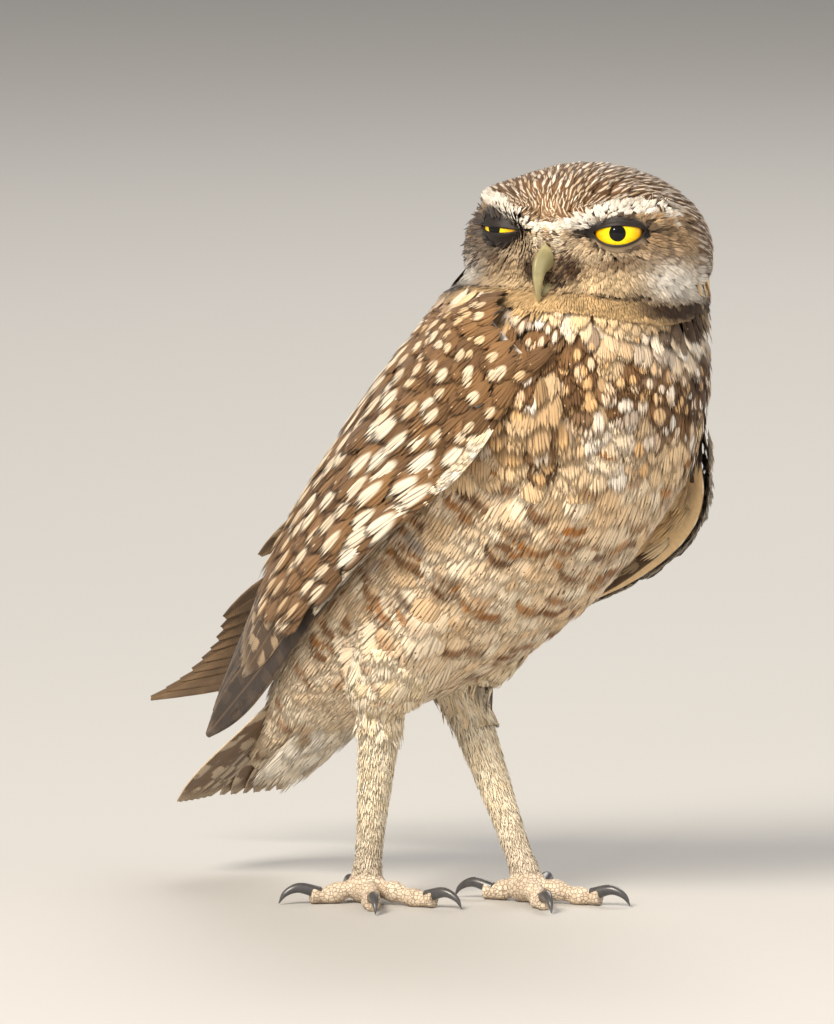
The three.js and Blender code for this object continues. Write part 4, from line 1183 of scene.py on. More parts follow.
def bill_half(name, path, radius, height):
    """Horn swept along a curve, its sides drawn to a ridge on top, nostril pits pressed in by its base."""
    share = np.linspace(0, 1, 64)
    line = spline([head_point(*knot) for knot in path], share)
    along = unit(np.gradient(line, axis=0))
    over = unit(np.cross(along, ASIDE))
    over *= np.sign(over @ (UP + AHEAD))[:, None]
    turn = np.linspace(0, 2 * np.pi, 48, endpoint=False)
    wide = np.cos(turn) * (1 - 0.22 * np.maximum(np.sin(turn), 0) ** 2)
    tall = np.sin(turn) * (1 + 0.14 * bump(turn - np.pi / 2, 0.5))
    size = radius(share)[:, None]
    points = (
        line[:, None] + (size * wide)[..., None] * ASIDE + (size * height * tall)[..., None] * over[:, None]
    )
    shade = 1 - 0.35 * ramp(share, 0.75, 1)[:, None] * np.ones(48)
    for side in (-1, 1):
        pit = head_point(21.8, side * 2.2, 0.0)
        gap = np.linalg.norm(points - pit, axis=-1)
        points = points - (0.6 * bump(gap, 0.9))[..., None] * ASIDE * side
        shade = shade * (1 - 0.85 * bump(gap, 0.8))
    points, triangles = closed_tube(points)
    tone = np.append(shade.ravel(), [1, 1])[:, None] * np.ones(3)
    half = piece(name, points, outward(points - points.mean(0), triangles), HORN, {"ground": tone})
    return half


def upper_radius(s):
    """Radius of the upper half: fullest some way out, then down to a sharp point."""
    return 2.15 * (1 - s**1.8) * (0.75 + 0.45 * bump(s - 0.4, 0.3)) + 0.12


def lower_radius(s):
    """Radius of the lower half, which narrows evenly."""
    return 1.9 * (1 - 0.75 * s)


UPPER_CURVE = [(17, 0, 0.5), (22.2, 0, -1.7), (26.8, 0, -4.5), (27.8, 0, -10), (26.4, 0, -15)]
LOWER_CURVE = [(17, 0, -8.5), (22.4, 0, -10), (25.4, 0, -11.6)]
upper = bill_half("bill_horn_upper", UPPER_CURVE, upper_radius, 1.35)
lower = bill_half("bill_horn_lower", LOWER_CURVE, lower_radius, 0.9)
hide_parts("bill_upper")
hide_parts("bill_lower")

# Wings: flight feathers in tiers under rows of soft coverts, with a cream leading edge and a buff lining.
# Each folded wing is one curved sheet from its leading edge (chord share 0) to its top line (1), clear of the
# body; its feathers are rooted in a thin core, the flight feathers as stiff vanes either side of a quill.
VANE, tree, bsdf = shader("vane", 0.6, Sheen_Weight=0.1, Specular_IOR_Level=0.25)
along, across, share = add(tree, "ShaderNodeSeparateXYZ", {0: value_at(tree, "lock", "Vector")}).outputs
gap, strength, border = add(tree, "ShaderNodeSeparateXYZ", {0: value_at(tree, "kind", "Vector")}).outputs
half, seed, under = add(tree, "ShaderNodeSeparateXYZ", {0: value_at(tree, "form", "Vector")}).outputs
away = maths(tree, "ABSOLUTE", across)
where = add(
    tree, "ShaderNodeCombineXYZ", {0: along, 1: across, 2: maths(tree, "MULTIPLY", seed, 50.0)},
).outputs[0]
drift = maths(tree, "SUBTRACT", noise(tree, where, 0.35, 3.0), 0.5)
slant = maths(tree, "SUBTRACT", maths(tree, "MULTIPLY", along, 0.75), maths(tree, "MULTIPLY", away, 0.9))
slant = maths(tree, "ADD", slant, maths(tree, "MULTIPLY", drift, 1.2))
barb = maths(tree, "SINE", maths(tree, "MULTIPLY", slant, 11.0))
beat = maths(tree, "DIVIDE", maths(tree, "SUBTRACT", along, maths(tree, "MULTIPLY", away, 0.35)), gap)
beat = maths(tree, "ADD", beat, maths(tree, "MULTIPLY", drift, 0.7))
wave = maths(
    tree, "ABSOLUTE", maths(tree, "SUBTRACT", maths(tree, "FRACT", maths(tree, "ADD", beat, seed)), 0.5),
)
from_quill = maths(tree, "ADD", away, maths(tree, "MULTIPLY", drift, 2.0))
band = maths(tree, "MULTIPLY", soft_step(tree, wave, 0.27, 0.17), soft_step(tree, from_quill, 0.6, 2.0))
band = maths(tree, "MULTIPLY", maths(tree, "MULTIPLY", band, strength), soft_step(tree, share, 0.97, 0.9))
edge = maths(tree, "DIVIDE", away, half)
edge = maths(tree, "ADD", edge, maths(tree, "MULTIPLY", drift, 0.25))
edge = maths(tree, "MAXIMUM", edge, maths(tree, "MULTIPLY", share, 0.97))
rim = maths(tree, "MULTIPLY", soft_step(tree, edge, 0.9, 0.98), border)
mask = maths(tree, "MAXIMUM", band, rim)
tone = tint(tree, "MIX", mask, value_at(tree, "ground", "Vector"), value_at(tree, "mark", "Vector"))
tone = tint(tree, "MIX", maths(tree, "MULTIPLY", under, 0.3), tone, rgba(srgb(128, 104, 78)))
tone = tint(
    tree, "MIX", maths(tree, "MULTIPLY", soft_step(tree, away, 0.35, 0.15), 0.4), tone,
    rgba(srgb(128, 100, 70)),
)
level = maths(tree, "ADD", maths(tree, "MULTIPLY", barb, 0.13), scaled(tree, drift, 0.5, 0.95))
tree.links.new(tint(tree, "MULTIPLY", 1.0, tone, grey(tree, level)), bsdf.inputs["Base Color"])
tree.links.new(bumpy(tree, barb, 0.25, 0.0002), bsdf.inputs["Normal"])


def vane_outline(t):
    """Share of the full width along a vane: narrow at the quill, then full, and rounded at the tip."""
    return (0.45 + 0.55 * ramp(t, 0, 0.3)) * np.sqrt(np.maximum(1 - ramp(t, 0.74, 1.02) ** 1.6, 0.002))


def vanes(name, middle, across, up, half, length, look, seed, fold=0.3, columns=9):
    """Closed vanes from middle lines: a low ridge over the quill, slightly ragged edges, a thin underside.

    middle, across and up are arrays of feather, place along it and x, y, z; half holds half widths in mm.
    """
    rng = np.random.default_rng(seed)
    count, rows = middle.shape[:2]
    w = np.linspace(-1, 1, columns)
    t = np.linspace(0, 1, rows)
    wander = np.cumsum(rng.normal(0, 0.4, (count, rows, 1)), 1)
    split = 1 + 0.05 * wander * ramp(t, 0.2, 0.9)[:, None] * np.ones(columns)
    reach = (half[..., None] * split) * w
    ridge = fold * (1 - np.abs(w)) - 0.05
    thick = 0.35 + 0.9 * (1 - ramp(t, 0.1, 0.6))[None, :, None] * (1 - np.abs(w))
    top = middle[:, :, None] + reach[..., None] * across[:, :, None] + ridge[:, None] * up[:, :, None]
    low = top - thick[..., None] * up[:, :, None]
    points = np.concatenate([top, low[:, :, ::-1]], 2)
    ring = points.shape[2]
    one = grid_faces(rows, ring, True)
    fan = np.arange(1, ring - 1)
    caps = np.concatenate([
        np.stack([0 * fan, fan + 1, fan], 1), np.stack([0 * fan, fan, fan + 1], 1) + (rows - 1) * ring,
    ])
    one = outward(points[0].reshape(-1, 3) - points[0].mean((0, 1)), np.vstack([one, caps]))
    triangles = (np.arange(count)[:, None, None] * rows * ring + one).reshape(-1, 3)
    full = (count, rows, ring)
    both = np.concatenate([reach, reach[..., ::-1]], -1)
    distance = t[None, :, None] * length[:, None, None]
    lock = np.stack([np.broadcast_to(distance, full), both, np.broadcast_to(t[None, :, None], full)], -1)
    kind, ground, mark = (np.broadcast_to(np.asarray(v)[:, None, None], (*full, 3)) for v in look)
    beneath = np.broadcast_to(np.repeat([0.0, 1.0], columns), full)
    wide = np.maximum(np.concatenate([half[..., None] * split] * 2, 2), 0.6)
    form = np.stack(
        [np.broadcast_to(wide, full), np.broadcast_to(rng.uniform(0, 1, (count, 1, 1)), full), beneath], -1,
    )
    values = {"lock": lock, "kind": kind, "form": form, "ground": ground, "mark": mark}
    made = piece(
        name, points.reshape(-1, 3), triangles, VANE, {k: v.reshape(-1, 3) for k, v in values.items()},
    )
    return made


# Knots of the two edges hold the distance out to the side, forward and up
WINGS = {
    "right": dict(
        side=-1, bulge=15,
        leading=[
            [36, 54, 141], [42, 40, 119], [44.5, 14, 100], [40, -12, 81], [27, -46, 58.5], [8, -88, 36],
        ],
        dorsal=[[14, 20, 160], [8, -8, 147], [4, -34, 120], [2, -58, 92], [2, -76, 65], [3, -90, 40]],
    ),
    "left": dict(
        side=1, bulge=15,
        leading=[[40, 46, 125], [50, 34, 99], [51, 12, 82], [43, -30, 66], [29, -76, 55], [11, -132, 40]],
        dorsal=[[14, 20, 160], [8, -8, 147], [5, -36, 121], [4, -66, 98], [6, -96, 76], [9, -126, 50]],
    ),
}
# The kept sheet starts this share of the wing's length ahead of its first row; a vane has so many rows
AHEAD_SHARE, VANE_ROWS = 0.12, 26


def off_body(points, clear):
    """Moves points that lie inside the body, or nearer to it than clear, straight out from the spine."""
    share = np.linspace(0, 1, 61)
    line = np.stack([np.zeros(len(BODY)), -BODY[:, 0], BODY[:, 1]], -1)
    centre = spline(line, share)
    along = unit(spline(line, share + 2e-3) - spline(line, share - 2e-3))
    over = np.cross(along, [1.0, 0, 0])
    flat = points.reshape(-1, 3)
    offset = flat[:, None] - centre
    clear = np.broadcast_to(np.asarray(clear, float), (*points.shape[:-1], 1)).reshape(-1, 1)
    miss = np.abs(np.einsum("nsk,sk->ns", offset, along)) + 1e3 * (np.linalg.norm(offset, axis=-1) > 70)
    best = miss.argmin(1)
    picked = offset[np.arange(len(flat)), best]
    girth = spline(BODY[:, 2:5], share)[best] + clear
    x, y = picked[:, 0], np.einsum("nk,nk->n", picked, over[best])
    reach = np.hypot(x / girth[:, 0], y / np.where(y > 0, girth[:, 1], girth[:, 2]))
    push = np.where((reach < 1) & (reach > 0.05) & (miss.min(1) < 3), 1 / np.maximum(reach, 0.05) - 1, 0)
    moved = flat + (push * x)[:, None] * [1.0, 0, 0] + (push * y)[:, None] * over[best]
    return moved.reshape(points.shape)


def wing_surface(side, bulge, leading, dorsal):
    """Surface function of a wing: a ruled sheet between its two edges, bulged outwards, clear of the body."""
    low, high = (np.array(knots, float) * [side, -1, 1] for knots in (leading, dorsal))

    def at(a, b):
        beyond = np.minimum(a, 0)[..., None]
        a, b = np.clip(a, 0, 1), np.clip(b, 0, 1)[..., None]
        start, stop = spline(low, a), spline(high, a)
        ends = np.clip(a - 1e-4, 0, 1), np.clip(a + 1e-4, 0, 1)
        along = unit(
            unit(spline(low, ends[1]) - spline(low, ends[0]))
            + unit(spline(high, ends[1]) - spline(high, ends[0]))
        )
        chord = stop - start
        out = unit(np.cross(along, chord)) * side
        slope = (spline(low, a + 0.06) - start) * (1 - b) + (spline(high, a + 0.06) - stop) * b
        sheet = start + chord * b + out * bulge * (1 - 0.8 * a[..., None]) * np.sin(np.pi * b) ** 0.8
        return off_body(sheet + (slope / 0.06 + out * 40) * beyond, 2.2 + 20 * beyond)

    return at


def along_wing(a):
    """Share of the kept sheet, which starts ahead of the wing's first row, for a length share of the wing."""
    return (a + AHEAD_SHARE) / (1 + AHEAD_SHARE)


def tier(sheet, side, root, tip, number, half, rise, step, shrink=0.0):
    """Middle lines, directions and half widths of a row of vanes between two root and two tip shares."""
    share = np.linspace(0, 1, number)[:, None]
    t = np.linspace(0, 1, VANE_ROWS)
    root_a, root_b = (root[0][k] + (root[1][k] - root[0][k]) * share for k in (0, 1))
    tip_a, tip_b = (tip[0][k] + (tip[1][k] - tip[0][k]) * share for k in (0, 1))
    a, b = along_wing(root_a + (tip_a - root_a) * t), root_b + (tip_b - root_b) * t
    up = (on(sheet, a, b, np.ones_like(a)) - on(sheet, a, b))
    line = unit(
        on(sheet, a + 0.02, b + 0.02 * (tip_b - root_b) / (tip_a - root_a))
        - on(sheet, a - 0.02, b - 0.02 * (tip_b - root_b) / (tip_a - root_a))
    )
    across = unit(np.cross(up, line)) * -side
    lift = -1.3 + (rise + 1.3) * ramp(t, 0, 0.55) + 0.1 * np.arange(number)[:, None]
    middle = on(sheet, a, b, lift)
    length = np.linalg.norm(np.diff(middle, axis=1), axis=-1).sum(1)
    half = np.broadcast_to(half * (1 - shrink * share) * vane_outline(t), (number, VANE_ROWS))
    over = unit(up + across * (step * ramp(t, 0, 0.5) / 6)[None, :, None])
    flat = unit(across - np.einsum("nrk,nrk->nr", across, over)[..., None] * over)
    return middle, flat, over, half, length


def same(number, *rows):
    """Each row of three values, repeated for a number of feathers."""
    return [np.broadcast_to(np.asarray(row, float), (number, 3)) for row in rows]


for wing, knots in WINGS.items():
    side = knots["side"]
    at = wing_surface(**knots)
    sheet = sample(lambda a, b: at(a * (1 + AHEAD_SHARE) - AHEAD_SHARE, b), 120, 90, False, side)
    rng = np.random.default_rng(60 + side)
    a, b = np.meshgrid(np.linspace(-0.05, 0.6, 60), np.linspace(0.0, 0.98, 40), indexing="ij")
    from_side = np.minimum(b / 0.12, (0.98 - b) / 0.06)
    from_end = np.minimum((a + 0.05) / 0.06, (0.6 - a) / 0.3)
    thick = 3.4 * np.sqrt(np.minimum(from_side, from_end).clip(0.02, 1))
    a = along_wing(a)
    sunk = 0.3 + 3.0 * (1 - ramp(a, 0.06, 0.24))
    top, low = on(sheet, a, b, 0.3 * thick - sunk), on(sheet, a, b, -0.7 * thick - sunk)
    points, triangles = closed_tube(np.concatenate([top, low[:, ::-1]], 1))
    drops = 0.6 * ramp(patchy(top.reshape(-1, 3), 9, 4.0), 0.2, 0.7)
    outer_tone = mixed(BROWN * 0.9, WHITE, drops).reshape(*top.shape)
    inner_tone = np.broadcast_to(srgb(236, 204, 156), top.shape)
    tone = np.concatenate([outer_tone, inner_tone], 1).reshape(-1, 3)
    tone = np.vstack([tone, tone[:1], tone[-1:]])
    core = piece(
        "wing_skin_" + wing, points, outward(points - points.mean(0), triangles), SKIN, {"ground": tone},
    )
    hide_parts("wing_" + wing)
    primaries = tier(sheet, side, [[0.32, 0.04], [0.36, 0.46]], [[1, 0.12], [0.87, 0.76]], 9, 4.4, 0.3, 0.9)
    vanes(
        f"primaries_{wing}", *primaries, [*same(9, [11, 0.1, 0.4], DARK * 0.6, srgb(150, 120, 84))],
        70 + side,
    )
    secondaries = tier(
        sheet, side, [[0.26, 0.16], [0.18, 0.74]], [[0.84, 0.2], [0.74, 0.94]], 11, 4.8, 1.1, 0.9,
    )
    vanes(
        f"secondaries_{wing}", *secondaries, [*same(11, [10, 0.5, 0.4], BROWN * 0.42, srgb(206, 178, 140))],
        73 + side,
    )
    bastard = tier(sheet, side, [[0.1, 0.06], [0.2, 0.2]], [[0.5, 0.06], [0.56, 0.22]], 4, 4.4, 1.2, 0.7)
    vanes(
        f"primary_coverts_{wing}", *bastard, [*same(4, [8, 0.3, 0.6], DARK * 1.3, srgb(214, 190, 150))],
        76 + side,
    )

    # Coverts and scapulars: rows of soft brown feathers with a white drop near each tip, longer down the wing
    roots_a, roots_b = [], []
    at_row, row = -0.1, 0
    while at_row < 0.62:
        line = on(sheet, np.full(50, along_wing(at_row)), np.linspace(0.05, 0.98, 50))
        number = int(
            np.linalg.norm(np.diff(line, axis=0), axis=1).sum() / (4.4 + 1.2 * float(ramp(at_row, 0, 0.2)))
        )
        cross = (
            0.01 + 0.97 * (np.arange(number) + 0.5 * (row % 2)) / number
            + rng.normal(0, 0.22, number) / number
        )
        roots_b.append(cross.clip(0.02, 0.98))
        roots_a.append(at_row + 0.03 * np.sin(cross * 7) + rng.normal(0, 0.01, number))
        at_row, row = at_row + 0.026 + 0.022 * float(ramp(at_row, 0, 0.2)), row + 1
    a, b = np.concatenate(roots_a).clip(-0.11, 0.62), np.concatenate(roots_b)
    n = len(a)
    share = along_wing(a)
    lie = (
        on(sheet, share + 0.03, b + 0.012 * (0.5 - b)) - on(sheet, share - 0.03, b - 0.012 * (0.5 - b))
        + rng.normal(0, 0.3, (n, 3))
    )
    soft, luck = rng.uniform(0, 1, n), rng.uniform(0, 1, n)
    white = bump(a - 0.25, 0.2) * (1 - 0.5 * b) + rng.uniform(-0.25, 0.35, n)
    drop = np.where(
        luck < 0.68 + 0.14 * ramp(a, 0.02, 0.15), 0.6 + 0.6 * np.clip(white, 0, 1) + 0.2 * (a < 0.05), 0.0,
    )
    look = looks(
        n, spot=drop, seed=soft, pair=0.2 + 0.9 * ramp(a, 0.03, 0.3), edge=0.0,
        ground=mixed(BROWN * 0.8, srgb(136, 100, 62), soft),
        mark=mixed(srgb(214, 184, 142), srgb(232, 218, 196), np.clip(white + 0.1, 0, 1)),
    )
    high = ramp(a, -0.1, 0.06)
    rise = (
        -2.0 + 2.2 * high + 2.2 * ramp(a, 0.05, 0.3), -0.2 + 2.4 * high + 1.5 * ramp(a, 0.05, 0.4)
        + rng.uniform(-0.3, 0.5, n)
    )
    length = (10.5 + 9 * ramp(a, -0.02, 0.22)) * rng.uniform(0.88, 1.1, n)
    uv = unwrap(b, share)
    width = 6.0 + 2.6 * ramp(a, 0, 0.2) - 2.2 * ramp(a, 0.35, 0.6)
    made = coat(
        f"coverts_{wing}", laid(sheet, share, b, lie), n, length, width, rise, look, uv, locks=13,
        seed=82 + side, fan=0.45, girth=1.8,
    )

    # Leading edge: small cream feathers in a stripe, and the buff lining just inside it
    for label, number, flip, span, across_it in (
        ("edge", 300, 1.0, (0.09, 0.6), (0.0, 0.022)), ("lining", 480, -1.0, (0.0, 0.66), (0.02, 0.62)),
    ):
        a, b = rng.uniform(*span, number), rng.uniform(*across_it, number)
        if flip > 0 and side > 0:
            a = a * 1.18 - 0.1
        if flip > 0:
            b = b * (1 - 0.5 * ramp(a, 0.3, 0.6))
        share = along_wing(a)
        lie = downwards(sheet, share, b) + rng.normal(0, 0.2, (number, 3))
        soft = rng.uniform(0, 1, number)
        pale = (
            mixed(srgb(240, 216, 180), WHITE, soft) if flip > 0
            else mixed(srgb(232, 196, 144), srgb(246, 222, 182), soft)
        )
        if flip < 0:
            pale = mixed(pale, srgb(92, 74, 60), bump(a - 0.36, 0.035) * bump(b - 0.2, 0.25))
        look = looks(number, seed=soft, ground=pale, mark=pale)
        rise = np.full(number, 0.9), rng.uniform(1.6, 2.6, number) - 0.8 * ramp(a, 0.3, 0.6)
        if flip < 0:
            deep = 3.0 * (1 - ramp(a, 0.06, 0.24))
            rise = 1.6 + deep, rng.uniform(3.0, 3.8, number) + deep - 1.6 * ramp(a, 0.5, 0.7)
        uv = unwrap(b, share)
        made = coat(
            f"{label}_{wing}", laid(sheet, share, b, lie, flip), number,
            rng.uniform(7, 10, number) * (0.8 if flip > 0 else 1.1),
            rng.uniform(2.4, 3.4, number) * (0.8 if flip > 0 else 1.5), rise, look, uv, locks=7,
            seed=90 + side, fan=0.5, girth=1.3,
        )

# Tail: twelve stiff feathers in a closed fan, the middle pair on top, brown with pale bars and whitish tips.
# Their quills start in a point under the rump, and the fan slopes down and back.
pitch = math.radians(43)
down_line = np.array([0, math.cos(pitch), -math.sin(pitch)])
tail_up = np.array([0, math.sin(pitch), math.cos(pitch)])
tail_root = np.array([0, 36.0, 74.0])
t = np.linspace(0, 1, 26)
middle, across = [], []
for pair in range(6):
    for side in (-1, 1):
        turn = math.radians(11 * (pair + 0.5) / 6) * side
        line = down_line * math.cos(turn) + np.array([math.sin(turn), 0, 0])
        reach = 8 + (80 - 0.6 * pair - 8) * t
        drop = -0.65 * pair * ramp(t, 0, 0.4) + 0.8 * t**2
        middle.append(
            tail_root + [side * (1.2 + 0.75 * pair), 0, 0] + reach[:, None] * line + drop[:, None] * tail_up
        )
        across.append(np.broadcast_to([math.cos(turn), 0, 0] - math.sin(turn) * down_line, (26, 3)))
middle, across = np.array(middle), np.array(across)
tail = vanes(
    "tail_feathers", middle, across, np.broadcast_to(tail_up, middle.shape),
    np.broadcast_to(5.2 * vane_outline(t), (12, 26)), np.full(12, 72.0),
    [*same(12, [12, 0.85, 0.8], srgb(112, 86, 62), srgb(226, 206, 176))], 95,
)
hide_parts("tail")

# Undertail: long soft whitish feathers from the vent, that lie along the underside of the tail in a shallow
# trough and cover the roots of its feathers.
rng = np.random.default_rng(97)
n = 110
under = np.array([0, 34.0, 62.0])


def beneath_tail(a, b):
    """Underside of the tail from the vent, as a trough: a runs to the tail's tip, b across it."""
    b = (b - 0.5) * 2
    width = (13 - 4 * a) * b
    return (
        under + a[..., None] * 62 * down_line + width[..., None] * [1.0, 0, 0]
        + (-11 + 9 * a + (5 - 2 * a) * b * b)[..., None] * tail_up
    )


sheet = sample(beneath_tail, 40, 40, False)
flip = way_out(sheet, 0.5, on(sheet, np.array([0.5]), np.array([0.5])) + tail_up)
a, b = rng.uniform(0.0, 0.55, n), rng.uniform(0.02, 0.98, n)
lie = downwards(sheet, a, b, 0.05) + rng.normal(0, 0.5, (n, 3))
soft = rng.uniform(0, 1, n)
tone = mixed(srgb(226, 204, 170), srgb(248, 238, 222), soft)
look = looks(n, seed=soft, ground=tone, mark=srgb(120, 88, 60), bar=(soft < 0.12) * 0.7)
uv = unwrap(b, a)
made = coat(
    "undertail_feathers", laid(sheet, a, b, lie, flip), n, rng.uniform(16, 22, n), rng.uniform(6, 9, n),
    (np.full(n, -1.5), rng.uniform(0, 1.2, n)), look, uv, locks=13, seed=98, girth=1.6,
)

# Legs: long shanks in short hair-like feathers, scaly toes with dark curved claws, and soft cream thighs.
# Shank, pad and toes are tubes along curves, merged by a fine voxel remesh; toe is its turn from ahead and
# its length. The claws are horn with their roots in the toes.
LEGS = {
    "right": dict(foot=(-18, 20, 6), toes=[(-40, 19), (12, 21), (-122, 15), (152, 12)]),
    "left": dict(foot=(13, -8, 6), toes=[(-32, 19), (20, 21), (118, 15), (-158, 12)]),
}
SCALES, tree, bsdf = shader("scaly skin", 0.6, Specular_IOR_Level=0.3)
place_of = add(tree, "ShaderNodeTexCoord").outputs["Object"]
cells = add(
    tree, "ShaderNodeTexVoronoi", {"Vector": place_of, "Scale": 900.0, "Randomness": 0.8},
    feature="DISTANCE_TO_EDGE",
).outputs[0]
groove = soft_step(tree, cells, 0.0, 0.12)
cloud = noise(tree, place_of, 220.0, 3.0)
tone = tint(
    tree, "MIX", soft_step(tree, cloud, 0.35, 0.7), rgba(srgb(196, 178, 156)), rgba(srgb(224, 208, 186)),
)
tone = tint(tree, "MIX", groove, rgba(srgb(150, 130, 110)), tone)
low = add(tree, "ShaderNodeSeparateXYZ", {0: place_of}).outputs[2]
tone = tint(tree, "MIX", soft_step(tree, low, 0.0, 0.0012), rgba(srgb(160, 138, 114)), tone)
tree.links.new(tone, bsdf.inputs["Base Color"])
tree.links.new(bumpy(tree, groove, 0.6, 0.0003), bsdf.inputs["Normal"])
CLAW, tree, bsdf = shader("claw", 0.32, Coat_Weight=0.3, Coat_Roughness=0.25)
place_of = add(tree, "ShaderNodeTexCoord").outputs["Object"]
grain = noise(tree, place_of, 500.0, 3.0)
tree.links.new(
    tint(tree, "MIX", grain, rgba(srgb(40, 40, 44)), rgba(srgb(86, 84, 84))), bsdf.inputs["Base Color"],
)


FOOT_VOXEL = 0.00045


def tube_surface(path, radius):
    """Surface function of a round limb: a runs down its length, b round it."""
    def at(a, b):
        centre = spline(path, a)
        along = unit(spline(path, a + 5e-3) - spline(path, a - 5e-3))
        across = unit(np.cross(along, [0, 1.0, 0.05]))
        over = np.cross(along, across)
        turn = (b * 2 * np.pi)[..., None]
        return centre + (np.cos(turn) * across + np.sin(turn) * over) * radius(a)[..., None]

    return at


def sitting(seed, down, round_it, low, high):
    """Staggered shares of roots on a limb."""
    rng = np.random.default_rng(seed)
    a, b = np.meshgrid(np.linspace(low, high, down), np.arange(round_it) / round_it, indexing="ij")
    b = b + 0.5 / round_it * (np.arange(down) % 2)[:, None]
    a = (a + rng.normal(0, 0.35 * (high - low) / down, a.shape)).clip(0, 1)
    b = (b + rng.normal(0, 0.3 / round_it, b.shape)) % 1
    return a.ravel(), b.ravel(), rng


def shank_radius(s):
    """Radius of a shank: slimmer down its length, a little fuller where it meets the foot."""
    return 5.4 - 2.2 * ramp(s, 0, 0.8) + 0.5 * ramp(s, 0.85, 1)


def thigh_radius(s):
    """Radius of a thigh: fullest below the hip, then slimmer down to the heel."""
    return 8 + 5.8 * ramp(s, 0, 0.3) - 3.4 * ramp(s, 0.3, 0.6) - 4.5 * ramp(s, 0.58, 0.82)


def claw_radius(s):
    """Radius of a claw, down to a sharp point."""
    return 1.5 * (1 - s**1.4) + 0.12


